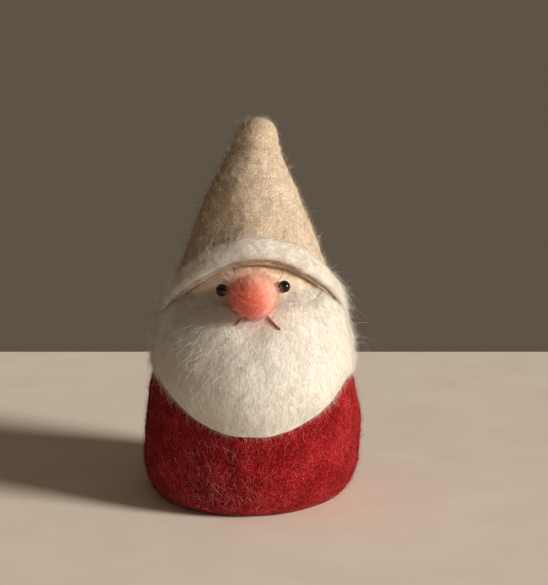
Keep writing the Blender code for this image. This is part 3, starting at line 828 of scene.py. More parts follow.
class FibreTree:
    """Geometry Nodes that lay loose fibres on a surface, along its painted grain."""

    inputs = (
        ("Density", "NodeSocketFloat", 1000000.0),
        ("Length", "NodeSocketFloat", 0.006),
        ("Radius", "NodeSocketFloat", 0.00005),
        ("Lift", "NodeSocketFloat", 0.0005),
        ("Curl", "NodeSocketFloat", 0.001),
        ("Spread", "NodeSocketFloat", 0.3),
        ("Cling", "NodeSocketFloat", 1.0),
        ("Points", "NodeSocketInt", 6),
        ("Seed", "NodeSocketInt", 1),
        ("Material", "NodeSocketMaterial", None),
    )

    def build(self) -> bpy.types.NodeTree:
        """Builds the node group."""
        tree = bpy.data.node_groups.new("loose_fibres", "GeometryNodeTree")
        tree.interface.new_socket("Surface", in_out="INPUT", socket_type="NodeSocketGeometry")
        for name, kind, default in self.inputs:
            socket = tree.interface.new_socket(name, in_out="INPUT", socket_type=kind)
            if default is not None:
                socket.default_value = default
        tree.interface.new_socket("Fibres", in_out="OUTPUT", socket_type="NodeSocketGeometry")
        wiring = Wiring(tree)
        given = wiring.add("NodeGroupInput").outputs
        curves = self.planted(wiring, given)
        laid = self.laid(wiring, given, curves)
        along = wiring.add("GeometryNodeSplineParameter").outputs["Factor"]
        turns = wiring.maths("MULTIPLY", along, math.pi)
        taper = wiring.maths("ADD", wiring.maths("MULTIPLY", wiring.maths("SINE", turns), 0.8), 0.2)
        section = wiring.add(
            "GeometryNodeCurvePrimitiveCircle", {"Resolution": 3, "Radius": given["Radius"]}
        )
        mesh = wiring.add(
            "GeometryNodeCurveToMesh",
            {"Curve": laid, "Profile Curve": section.outputs[0], "Scale": taper, "Fill Caps": True},
        )
        soft = wiring.add("GeometryNodeSetShadeSmooth", {0: mesh.outputs[0]})
        whole = wiring.add("GeometryNodeRealizeInstances", {0: soft.outputs[0]}).outputs[0]
        dressed = wiring.add("GeometryNodeSetMaterial", {0: whole, "Material": given["Material"]})
        wiring.add("NodeGroupOutput", {0: dressed.outputs[0]})
        return tree

    def planted(self, wiring: Wiring, given: bpy.types.NodeOutputs) -> bpy.types.NodeSocket:
        """Scatters straight fibres over the surface, each turned along the grain."""
        cover = wiring.painted("cover")
        density = wiring.maths("MULTIPLY", given["Density"], cover)
        points = wiring.add(
            "GeometryNodeDistributePointsOnFaces",
            {"Mesh": given["Surface"], "Density": density, "Seed": given["Seed"]},
        )
        grain = wiring.add(
            "GeometryNodeInputNamedAttribute", {"Name": "grain"}, data_type="FLOAT_VECTOR"
        ).outputs[0]
        flat = wiring.add(
            "FunctionNodeAxesToRotation",
            {0: points.outputs["Normal"], 1: grain},
            primary_axis="Z",
            secondary_axis="X",
        ).outputs[0]
        swing = wiring.add(
            "FunctionNodeRandomValue",
            {
                2: wiring.maths("MULTIPLY", given["Spread"], -1.0),
                3: given["Spread"],
                8: given["Seed"],
            },
            data_type="FLOAT",
        ).outputs[1]
        turn = wiring.add(
            "FunctionNodeAxisAngleToRotation", {"Axis": (0.0, 0.0, 1.0), "Angle": swing}
        ).outputs[0]
        turned = wiring.add(
            "FunctionNodeRotateRotation", {0: flat, 1: turn}, rotation_space="LOCAL"
        ).outputs[0]
        line = wiring.add(
            "GeometryNodeCurvePrimitiveLine", {0: (-0.5, 0.0, 0.0), 1: (0.5, 0.0, 0.0)}
        )
        fine = wiring.add(
            "GeometryNodeResampleCurve", {"Curve": line.outputs[0], "Count": given["Points"]}
        )
        lengths = wiring.add(
            "FunctionNodeRandomValue",
            {2: 0.5, 3: 1.35, 8: wiring.maths("ADD", given["Seed"], 3.0)},
            data_type="FLOAT",
        ).outputs[1]
        planted = wiring.add(
            "GeometryNodeInstanceOnPoints",
            {
                "Points": points.outputs["Points"],
                "Instance": fine.outputs[0],
                "Rotation": turned,
                "Scale": wiring.maths("MULTIPLY", given["Length"], lengths),
            },
        ).outputs[0]
        for number, name in enumerate(("tone", "loose")):
            chance = wiring.add(
                "FunctionNodeRandomValue",
                {2: 0.0, 3: 1.0, 8: wiring.maths("ADD", given["Seed"], 11.0 + number)},
                data_type="FLOAT",
            ).outputs[1]
            planted = wiring.add(
                "GeometryNodeStoreNamedAttribute",
                {"Geometry": planted, "Name": name, "Value": chance},
                data_type="FLOAT",
                domain="INSTANCE",
            ).outputs[0]
        return wiring.add("GeometryNodeRealizeInstances", {0: planted}).outputs[0]

    def laid(
        self, wiring: Wiring, given: bpy.types.NodeOutputs, curves: bpy.types.NodeSocket
    ) -> bpy.types.NodeSocket:
        """Curls the fibres and lays them on the surface, with a few loose ends."""
        tone, loose = wiring.painted("tone"), wiring.painted("loose")
        place = wiring.add("GeometryNodeInputPosition").outputs[0]
        wander = wiring.add(
            "ShaderNodeTexNoise",
            {
                "Vector": place,
                "W": wiring.maths("MULTIPLY", tone, 40.0),
                "Scale": 190.0,
                "Detail": 2.0,
            },
            noise_dimensions="4D",
        ).outputs["Color"]
        centred = wiring.vectors("SUBTRACT", wander, (0.5, 0.5, 0.5))
        curl = wiring.vectors("SCALE", centred, wiring.maths("MULTIPLY", given["Curl"], 4.0))
        wished = wiring.vectors("ADD", place, curl)
        near = wiring.add(
            "GeometryNodeProximity",
            {0: given["Surface"], "Sample Position": wished},
            target_element="FACES",
        ).outputs["Position"]
        normal = wiring.add("GeometryNodeInputNormal").outputs[0]
        out = wiring.add(
            "GeometryNodeSampleNearestSurface",
            {"Mesh": given["Surface"], "Value": normal, "Sample Position": wished},
            data_type="FLOAT_VECTOR",
        ).outputs[0]
        along = wiring.add("GeometryNodeSplineParameter").outputs["Factor"]
        end = wiring.maths("MULTIPLY", wiring.maths("MULTIPLY", along, along), 1.8)
        wild = wiring.maths("POWER", loose, 3.0)
        height = wiring.maths("MULTIPLY", wiring.maths("ADD", end, 0.25), wild)
        raised = wiring.vectors("SCALE", out, wiring.maths("MULTIPLY", given["Lift"], height))
        pulled = wiring.vectors("SCALE", wiring.vectors("SUBTRACT", near, wished), given["Cling"])
        lying = wiring.vectors("ADD", wished, pulled)
        return wiring.add(
            "GeometryNodeSetPosition", {0: curves, "Position": wiring.vectors("ADD", lying, raised)}
        ).outputs[0]


class ThreadTree:
    """Geometry Nodes that twist two plies of thread along a path."""

    def build(self) -> bpy.types.NodeTree:
        """Builds the node group."""
        tree = bpy.data.node_groups.new("two_ply_thread", "GeometryNodeTree")
        tree.interface.new_socket("Path", in_out="INPUT", socket_type="NodeSocketGeometry")
        for name, kind in (("Radius", "Float"), ("Turns", "Float"), ("Material", "Material")):
            tree.interface.new_socket(name, in_out="INPUT", socket_type=f"NodeSocket{kind}")
        tree.interface.new_socket("Thread", in_out="OUTPUT", socket_type="NodeSocketGeometry")
        wiring = Wiring(tree)
        given = wiring.add("NodeGroupInput").outputs
        curve = wiring.add("GeometryNodeMeshToCurve", {0: given["Path"]}).outputs[0]
        step = wiring.maths("MULTIPLY", given["Radius"], 0.7)
        fine = wiring.add(
            "GeometryNodeResampleCurve", {"Curve": curve, "Length": step}, mode="LENGTH"
        ).outputs[0]
        along = wiring.add("GeometryNodeSplineParameter").outputs["Length"]
        turns = wiring.maths("MULTIPLY", along, given["Turns"])
        turning = wiring.maths("MULTIPLY", turns, 2 * math.pi)
        tangent = wiring.add("GeometryNodeInputTangent").outputs[0]
        normal = wiring.add("GeometryNodeInputNormal").outputs[0]
        section = wiring.add(
            "GeometryNodeCurvePrimitiveCircle",
            {"Resolution": 8, "Radius": wiring.maths("MULTIPLY", given["Radius"], 0.58)},
        ).outputs[0]
        plies = wiring.add("GeometryNodeJoinGeometry")
        for start in (0.0, math.pi):
            sideways = wiring.add(
                "ShaderNodeVectorRotate",
                {"Vector": normal, "Axis": tangent, "Angle": wiring.maths("ADD", turning, start)},
                rotation_type="AXIS_ANGLE",
            ).outputs[0]
            apart = wiring.maths("MULTIPLY", given["Radius"], 0.46)
            offset = wiring.vectors("SCALE", sideways, apart)
            ply = wiring.add("GeometryNodeSetPosition", {0: fine, "Offset": offset}).outputs[0]
            round_ply = wiring.add(
                "GeometryNodeCurveToMesh",
                {"Curve": ply, "Profile Curve": section, "Fill Caps": True},
            )
            tree.links.new(round_ply.outputs[0], plies.inputs[0])
        whole = wiring.add("GeometryNodeRealizeInstances", {0: plies.outputs[0]}).outputs[0]
        soft = wiring.add("GeometryNodeSetShadeSmooth", {0: whole}).outputs[0]
        dressed = wiring.add("GeometryNodeSetMaterial", {0: soft, "Material": given["Material"]})
        wiring.add("NodeGroupOutput", {0: dressed.outputs[0]})
        return tree


@dataclass(frozen=True)
class FibreCoat:
    """A coat of loose fibres: how many, their sizes in mm and their swing in degrees."""

    count: int
    length: float
    radius: float
    lift: float
    curl: float
    spread: float
    seed: int
    points: int = 4
    cling: float = 1.0


# Each coat by the name of its piece: count, length, radius, lift, curl, spread and seed
COATS = {
    "robe_fibres": FibreCoat(6100, 3.4, 0.027, 1.0, 0.9, 88, 20),
    "robe_pale_flecks": FibreCoat(1700, 3.6, 0.018, 1.2, 1.0, 50, 28, points=5),
    "shed_white_fibres": FibreCoat(260, 5, 0.014, 1.0, 1.2, 40, 27, points=7),
    "head_fibres": FibreCoat(1400, 5, 0.04, 0.25, 0.9, 90, 31),
    "face_fibres": FibreCoat(2200, 3.2, 0.045, 0.5, 0.5, 60, 33),
    "cheek_white_fibres": FibreCoat(4000, 3.2, 0.03, 0.7, 0.8, 70, 34, cling=0.4),
    "nose_fibres": FibreCoat(3800, 2.2, 0.022, 1.6, 0.7, 90, 35),
    "beard_fibres": FibreCoat(6500, 4.2, 0.02, 1.3, 1.0, 52, 44),
    "beard_flyaway_fibres": FibreCoat(2600, 5, 0.026, 2.2, 2.0, 60, 47, points=5),
    "beard_top_fibres": FibreCoat(3000, 3.6, 0.028, 0.3, 0.8, 60, 49, cling=0.25),
    "side_seam_fibres": FibreCoat(2100, 4.5, 0.03, 0.5, 1.2, 80, 50, cling=0.1),
    "beard_wisps": FibreCoat(90, 11, 0.014, 6, 6, 90, 48, points=16),
    "back_hair_fibres": FibreCoat(5200, 4.5, 0.028, 1.6, 1.2, 60, 55),
    "hat_fibres": FibreCoat(6100, 3.0, 0.028, 1.0, 0.9, 85, 64),
    "hat_flyaway_fibres": FibreCoat(2200, 4, 0.028, 2.4, 1.6, 85, 67, points=5),
    "hat_band_fibres": FibreCoat(4400, 4.6, 0.021, 1.2, 1.0, 48, 74),
    "hat_band_flyaway_fibres": FibreCoat(1500, 6, 0.02, 2.4, 1.8, 70, 77, points=5),
    "hat_band_side_fuzz": FibreCoat(3000, 4.4, 0.03, 2.0, 2.0, 80, 78, points=5, cling=0.3),
    "hat_stuffing_fibres": FibreCoat(900, 4, 0.05, 0.8, 0.9, 90, 82),
}


class Workshop:
    """Holds the node groups and grows fibres and threads with them."""

    def __init__(self) -> None:
        """Builds the node groups once."""
        self.fibre_tree = FibreTree().build()
        self.thread_tree = ThreadTree().build()

    def fibres(
        self,
        name: str,
        base: bpy.types.Mesh,
        finish: WoolFinish,
        body: Body,
        slot: Slot,
        layers: int = 0,
    ) -> None:
        """Lays a coat of loose fibres on a mesh that is painted with cover and grain.

        Args:
            name: Name of the coat and of the new piece.
            base: The wool surface.
            finish: The wool that the fibres are of.
            body: The body that they move with.
            slot: Not used.
            layers: How many numbered pieces of the coat to lay, or 0 for one without a number.
        """
        coat = COATS[name]
        cover = np.empty(len(base.vertices), np.float32)
        base.attributes["cover"].data.foreach_get("value", cover)
        area = sum(face.area * float(cover[list(face.vertices)].mean()) for face in base.polygons)
        for number in range(1, layers + 1) if layers else (0,):
            values = {
                "Density": coat.count / area,
                "Length": coat.length * MM,
                "Radius": coat.radius * MM,
                "Lift": coat.lift * MM,
                "Curl": coat.curl * MM,
                "Spread": math.radians(coat.spread),
                "Cling": coat.cling,
                "Points": coat.points,
                "Seed": coat.seed + number,
            }
            full_name = f"{name}_{number}" if layers else name
            grown = grow(full_name, base, self.fibre_tree, values, finish.fibres())
            hand_over(grown, body)

    def thread(
        self, name: str, path: Array, radius: float, turns: float, finish: ThreadFinish
    ) -> bpy.types.Object:
        """Twists a two-ply thread along a path of points in mm, with so many turns to a mm."""
        line = bpy.data.meshes.new(f"{name}_path")
        line.from_pydata((path * MM).tolist(), [(i, i + 1) for i in range(len(path) - 1)], [])
        values = {"Radius": radius * MM, "Turns": turns / MM}
        return grow(name, line, self.thread_tree, values, finish.material())


# Sub-assemblies


@dataclass
class WoolBody:
    """The red robe, its felt sole and the core wool inside."""

    shop: Workshop
    sides: int = 176
    rows: int = 60
    top: float = 47.5
    thickness: float = 3.0
    opening: float = 26.0
    seat: float = 2.3
    inside: tuple[float, ...] = (7, 14, 22, 30, 36, 40)
    neck: tuple[tuple[float, float], ...] = ((27.4, 43.6), (24.0, 45.6))
    sag: float = 1.5
    sag_height: float = 26.0
    lumps: tuple[Lumps, ...] = (Lumps(16, 0.22, 3), Lumps(5, 0.09, 4), Lumps(2.0, 0.05, 5))
    sole_lumps: tuple[Lumps, ...] = (Lumps(5, 0.05, 8), Lumps(1.6, 0.03, 9))
    sole_voxel: float = 0.55
    bare_foot: float = 2.6
    under_beard: float = 1.5
    under_hair: float = 1.0
    fleck_side: float = -14.0
    fleck_width: float = 16.0
    fleck_height: float = 26.0
    shed_reach: float = 6.0
    shed_elsewhere: float = 0.03

    def settle(self, points: Array) -> Array:
        """Moves the lower part of the body a little to -X, where its weight rests."""
        moved = points.copy()
        moved[:, 0] -= self.sag * np.clip(1 - points[:, 2] / self.sag_height, 0, 1) ** 1.5
        moved[:, 2] = np.maximum(moved[:, 2], 0)
        return moved

    def robe(self) -> None:
        """Builds the robe with its loose fibres."""
        heights = eased(np.array(self.top), np.array(0.0), self.rows)
        outer = np.stack([FORM.robe.radius(heights), heights], axis=1)
        under = [(self.opening, 0.0), (self.opening, self.seat)]
        inner = [(float(FORM.robe.radius(z)) - self.thickness, z) for z in self.inside]
        outline = np.array([*outer, *under, *inner, *self.neck])
        turn = np.linspace(0, 360, self.sides, endpoint=False)
        mesh = skin("robe_wool", around(turn[None, :], outline[:, :1], outline[:, 1:]), looped=True)
        showing = np.repeat(np.arange(len(outline)) < self.rows, self.sides)
        roughen(mesh, self.lumps, showing * smooth(points_of(mesh)[:, 2], -4, 16))
        set_points(mesh, self.settle(points_of(mesh)))
        points = points_of(mesh)
        turned, height = angle_of(points), points[:, 2]
        under_wool = FORM.beard_low(turned) + self.under_beard
        behind = FORM.hair_low + self.under_hair
        top = np.where(np.abs(turned) < FORM.join_angle, under_wool, behind)
        in_sight = showing & (height < top) & (height > self.bare_foot)
        paint(mesh, "cover", in_sight)
        comb(mesh, np.tile((0.0, 0.0, 1.0), (len(points), 1)))
        robe = new_piece(mesh, ROBE_WOOL.material())
        hand_over(robe, Body.FIGURE, ["robe"])
        self.shop.fibres("robe_fibres", mesh, ROBE_WOOL, Body.FIGURE, Slot.ROBE, layers=2)
        aside = (points[:, 0] - self.fleck_side) / self.fleck_width
        flecked = np.exp(-(aside**2) - (height / self.fleck_height) ** 2)
        paint(mesh, "cover", in_sight * flecked)
        comb(mesh, np.tile((0.15, 0.0, 1.0), (len(points), 1)))
        self.shop.fibres("robe_pale_flecks", mesh, FLECKS, Body.FIGURE, Slot.ROBE)
        below_beard = spot(np.maximum(top - height, 0), 0, self.shed_reach)
        paint(mesh, "cover", in_sight * (below_beard + self.shed_elsewhere))
        self.shop.fibres("shed_white_fibres", mesh, WHITE_WOOL, Body.FIGURE, Slot.WHITE)

    def sole(self) -> None:
        """Builds the felt sole."""
        mesh = felted_copy("base_felt", "sole_felt", self.sole_voxel, self.sole_lumps)
        set_points(mesh, self.settle(points_of(mesh)))
        sole = new_piece(mesh, SOLE_FELT.material())
        hand_over(sole, Body.FIGURE, ["base_felt"])

    def build(self) -> None:
        """Builds the whole body."""
        self.robe()
        self.sole()
        dress_node("body_core", CORE_WOOL.material())


@dataclass
class Face:
    """The head's core wool, the peach face layer, the nose, the eyes and the mouth."""

    shop: Workshop
    half_angle: float = 72.0
    sections: int = 150
    rows: int = 74
    head_voxel: float = 0.8
    head_evened: int = 14
    head_lumps: tuple[Lumps, ...] = (Lumps(9, 0.15, 11), Lumps(3, 0.06, 12))
    face_lumps: tuple[Lumps, ...] = (Lumps(6, 0.1, 13), Lumps(2.2, 0.05, 14))
    nose_lumps: tuple[Lumps, ...] = (Lumps(6, 0.08, 15), Lumps(2, 0.04, 16))
    under_hat: float = 2.5
    nape_room: float = 0.4
    dimple_depth: float = 0.55
    dimple_width: float = 3.4
    bead_room: float = 0.12
    blush_width: float = 3.4
    pale_width: float = 3.2
    crease_shade_width: float = 1.6
    nose_radius: float = 7.5
    nose_squash: float = 0.91
    nose_centre: tuple[float, float, float] = (0.0, -29.0, 73.5)
    nose_core: tuple[float, float, float] = (-0.32, -1.0, -0.05)
    # Way toward the light, where the nose's rim gets a painted highlight
    nose_lit_side: tuple[float, float, float] = (0.8, 0.0, 0.5)
    bead_radius: float = 2.0
    bead_hole: float = 0.5
    bead_stand_off: float = 1.4
    eyes: dict[str, tuple[float, float]] = field(
        default_factory=lambda: {"left": (-24.5, 74.0), "right": (25.2, 75.0)}
    )
    thread_radius: float = 0.2
    thread_side: float = 2.1
    thread_bend: float = 0.45
    thread_twist: float = 0.6
    knot_angle: float = 166.0
    knot_height: float = 84.0
    knot_radius: float = 0.6
    knot_turns: int = 3
    knot_half_width: float = 0.75
    stitches: dict[str, tuple[tuple[float, float], tuple[float, float]]] = field(
        default_factory=lambda: {
            "left": ((-8.2, 65.5), (-12.4, 63.6)),
            "right": ((10.2, 66.2), (15.5, 63.0)),
        }
    )
    stitch_rise: dict[str, float] = field(default_factory=lambda: {"left": -0.7, "right": 1.2})
    stitch_radius: float = 0.47
    stitch_depth: float = 1.5
    stitch_bow: float = 0.25
    stitch_twist: float = 0.4

    def bead_centre(self, side: str) -> Array:
        """Middle of an eye bead."""
        angle, height = self.eyes[side]
        return around(angle, FORM.face_surface(height) + self.bead_stand_off, height)

    def head(self) -> None:
        """Builds the core wool of the head, whose crown shows when the hat is off."""
        mesh = felted_copy(
            "head_core", "head_wool", self.head_voxel, self.head_lumps, self.head_evened
        )
        points = points_of(mesh)
        turned = np.abs(angle_of(points))
        radius, height = np.hypot(points[:, 0], points[:, 1]), points[:, 2]
        in_hat = FORM.hat.radius(height) - FORM.hat_thickness
        room = np.minimum(FORM.under_wool(height), in_hat) - self.nape_room
        nape = smooth(turned, 76, 84) * smooth(height, 45.4, 46.4) * (1 - smooth(height, 50, 66))
        filled = np.maximum(room - radius, 0) * nape * (radius > 20)
        points += around(angle_of(points), filled, 0.0)
        set_points(mesh, points)
        paint(mesh, "cover", points[:, 2] > FORM.felt_edge(angle_of(points)) - 3)
        comb(mesh, np.tile((1.0, 0.0, 0.4), (len(points), 1)))
        head = new_piece(mesh, CORE_WOOL.material())
        hand_over(head, Body.FIGURE, ["head_core"])
        self.shop.fibres("head_fibres", mesh, CORE_WOOL, Body.FIGURE, Slot.CORE)

    def dimple(self, points: Array, showing: Array) -> tuple[Array, Array]:
        """Presses a dimple round each bead.

        Args:
            points: The points of the face wool, in mm.
            showing: Which of them are on the outer side.

        Returns:
            The moved points, and the distance of each from the nearest bead's middle.
        """
        nearest = np.full(len(points), np.inf)
        for side in self.eyes:
            centre = self.bead_centre(side)
            distance = np.linalg.norm(points - centre, axis=1)
            hollow = self.dimple_depth * spot(distance, 0, self.dimple_width) * showing
            outward = np.array([centre[0], centre[1], 0])
            points = points - hollow[:, None] * outward / np.hypot(centre[0], centre[1])
            away = points - centre
            distance = np.linalg.norm(away, axis=1)
            room = self.bead_radius + self.bead_room
            inside = (distance < room) & showing
            points[inside] = centre + away[inside] / distance[inside, None] * room
            nearest = np.minimum(nearest, distance)
        return points, nearest

    def face(self) -> None:
        """Builds the peach layer, which turns white where it meets the beard."""
        turned = np.linspace(-self.half_angle, self.half_angle, self.sections)[:, None]
        rise = FORM.felt_edge(turned) + self.under_hat - FORM.face_low
        share = np.linspace(0, 1, self.rows)
        heights = FORM.face_low + rise * share
        back = FORM.face_low + rise * share[::-6]
        outer = around(turned, FORM.puffed_face(turned, heights), heights)
        inner = around(turned, FORM.head.radius(back) + FORM.gap, back)
        mesh = skin("face_wool", np.concatenate([outer, inner], axis=1), looped=False)
        ring = self.rows + back.shape[1]
        showing = np.tile(np.arange(ring) < self.rows, self.sections)
        roughen(mesh, self.face_lumps, showing.astype(float))
        points, nearest = self.dimple(points_of(mesh), showing)
        set_points(mesh, points)
        turned, height = angle_of(points), points[:, 2]
        edge = FORM.felt_edge(turned)
        nose_away = np.linalg.norm(points - np.array(self.nose_centre), axis=1)
        paint(mesh, "blush", spot(nose_away, self.nose_radius, self.blush_width) * showing)
        above_beard = np.maximum(height - FORM.cheek_line(turned), 0)
        white = spot(above_beard, 0, self.pale_width) * showing
        paint(mesh, "pale", white)
        # Painted shade: a warm darker band on the face just under the hat's felt edge
        paint(mesh, "crease_shade", spot(height, edge, self.crease_shade_width))
        seen = showing & (height > FORM.beard_high(turned) - 1) & (nearest > self.bead_radius + 0.9)
        paint(mesh, "cover", seen & (nose_away > self.nose_radius) & (height < edge + 0.5))
        comb(mesh, around(turned + 90, 1.0, 0.2))
        hand_over(new_piece(mesh, FACE_WOOL.material()), Body.FIGURE, ["face"])
        self.shop.fibres("face_fibres", mesh, FACE_WOOL, Body.FIGURE, Slot.SKIN)
        paint(mesh, "cover", seen * white)
        comb(mesh, np.tile((0.0, 0.0, 1.0), (len(points), 1)))
        self.shop.fibres("cheek_white_fibres", mesh, WHITE_WOOL, Body.FIGURE, Slot.WHITE)

    def nose(self) -> None:
        """Builds the felted ball, pressed flat where it sits on the face."""
        across = np.linspace(0, 360, 96, endpoint=False)
        up = np.radians(np.linspace(-88.5, 88.5, 64))[:, None]
        high = self.nose_radius * self.nose_squash
        rings = around(across[None, :], self.nose_radius * np.cos(up), high * np.sin(up))
        mesh = skin("nose_wool", rings + np.array(self.nose_centre), looped=False)
        roughen(mesh, self.nose_lumps)
        points = points_of(mesh)
        seat = FORM.puffed_face(angle_of(points), points[:, 2]) + 0.12
        radius = np.hypot(points[:, 0], points[:, 1])
        sunk = radius < seat
        points[sunk, :2] *= (seat / np.maximum(radius, 0.001))[sunk, None]
        set_points(mesh, points)
        away = (points - np.array(self.nose_centre)) / self.nose_radius
        core = unit(away) @ unit(np.array(self.nose_core))
        # Painted highlight: the paler peach rim is strongest on the +X and upper side, where the
        # light falls, partly paler fibres at the rim
        lit_highlight = 0.16 + 0.66 * smooth(away @ np.array(self.nose_lit_side), -0.4, 0.6)
        paint(mesh, "edge", (1 - smooth(core, 0.25, 1.0)) * lit_highlight)
        paint(mesh, "cover", (-away[:, 1] > -0.75) & ~sunk)
        comb(mesh, np.tile((0.3, 0.0, 1.0), (len(points), 1)))
        hand_over(new_piece(mesh, NOSE_WOOL.material()), Body.FIGURE, ["nose"])
        self.shop.fibres("nose_fibres", mesh, NOSE_WOOL, Body.FIGURE, Slot.NOSE)

    def bead(self, side: str) -> None:
        """Builds one glass bead, bored for its thread."""
        angle = self.eyes[side][0]
        turn = np.radians(np.linspace(0, 360, 48, endpoint=False))[:, None]
        edge = math.asin(self.bead_hole / self.bead_radius)
        arc = np.linspace(edge, math.pi - edge, 30)
        bore = np.linspace(-0.9, 0.9, 5) * self.bead_radius * math.cos(edge)
        along = np.concatenate([self.bead_radius * np.cos(arc), bore])
        radius = np.concatenate([self.bead_radius * np.sin(arc), np.full(5, self.bead_hole)])
        across = around(angle + 90, 1.0, 0.0)
        ring = np.cos(turn) * around(angle, 1.0, 0.0) + np.sin(turn) * np.array([0.0, 0.0, 1.0])
        points = along[:, None, None] * across + radius[:, None, None] * ring[None, :, :]
        mesh = skin(f"eye_bead_glass_{side}", points + self.bead_centre(side), looped=True)
        bead = new_piece(mesh, BeadGlass().material())
        hand_over(bead, Body.FIGURE, [f"eye_bead_{side}"])

    def eye_thread(self, side: str) -> None:
        """Builds a bead's thread, from its knot at the back of the head and back again."""
        angle = self.eyes[side][0]
        centre = self.bead_centre(side)
        across = around(angle + 90, 1.0, 0.0)
        stand_off = FORM.head.radius(self.knot_height) + self.knot_radius
        knot = around(math.copysign(self.knot_angle, angle), stand_off, self.knot_height)
        back = unit(knot - centre)
        corner = np.radians(np.linspace(0, 90, 5))[:, None]
        beside = across * (self.thread_side - self.thread_bend * (1 - np.cos(corner)))
        behind = back * self.thread_bend * (1 - np.sin(corner))
        first, second = centre - beside + behind, centre + beside + behind
        turn = np.linspace(0, self.knot_turns * 2 * math.pi, 60)[:, None]
        sideways = np.array([1.0, 0.0, 0.0])
        upright = np.cross(back, sideways)
        coil = knot + self.knot_radius * (np.cos(turn) * back + np.sin(turn) * upright)
        coil = coil + sideways * (np.linspace(-1, 1, 60)[:, None] * self.knot_half_width)
        path = np.concatenate([coil[:1], first, second[::-1], coil[::-1]])
        name = f"eye_thread_spun_{side}"
        piece = self.shop.thread(name, path, self.thread_radius, self.thread_twist, EYE_THREAD)
        hand_over(piece, Body.FIGURE, [f"eye_thread_{side}"])

    def stitch(self, side: str) -> None:
        """Builds one mouth stitch, which dips into the wool at both ends."""
        (start_angle, start_height), (end_angle, end_height) = self.stitches[side]
        share = np.linspace(0, 1, 12)
        angle = start_angle + (end_angle - start_angle) * share
        height = start_height + (end_height - start_height) * share
        bow = self.stitch_bow * np.sin(share * math.pi)
        stand_off = self.stitch_radius * self.stitch_rise[side]
        run = around(angle, FORM.wool_surface(angle, height) + stand_off + bow, height)
        inward = -around((start_angle + end_angle) / 2, 1.0, 0.0) * self.stitch_depth
        path = np.concatenate([[run[0] + inward], run, [run[-1] + inward]])
        name = f"mouth_thread_{side}"
        piece = self.shop.thread(name, path, self.stitch_radius, self.stitch_twist, MOUTH_THREAD)
        hand_over(piece, Body.FIGURE, [f"mouth_stitch_{side}"])

    def build(self) -> None:
        """Builds the whole face."""
        self.head()
        self.face()
        self.nose()
        for side in self.eyes:
            self.bead(side)
            self.eye_thread(side)
        for side in self.stitches:
            self.stitch(side)


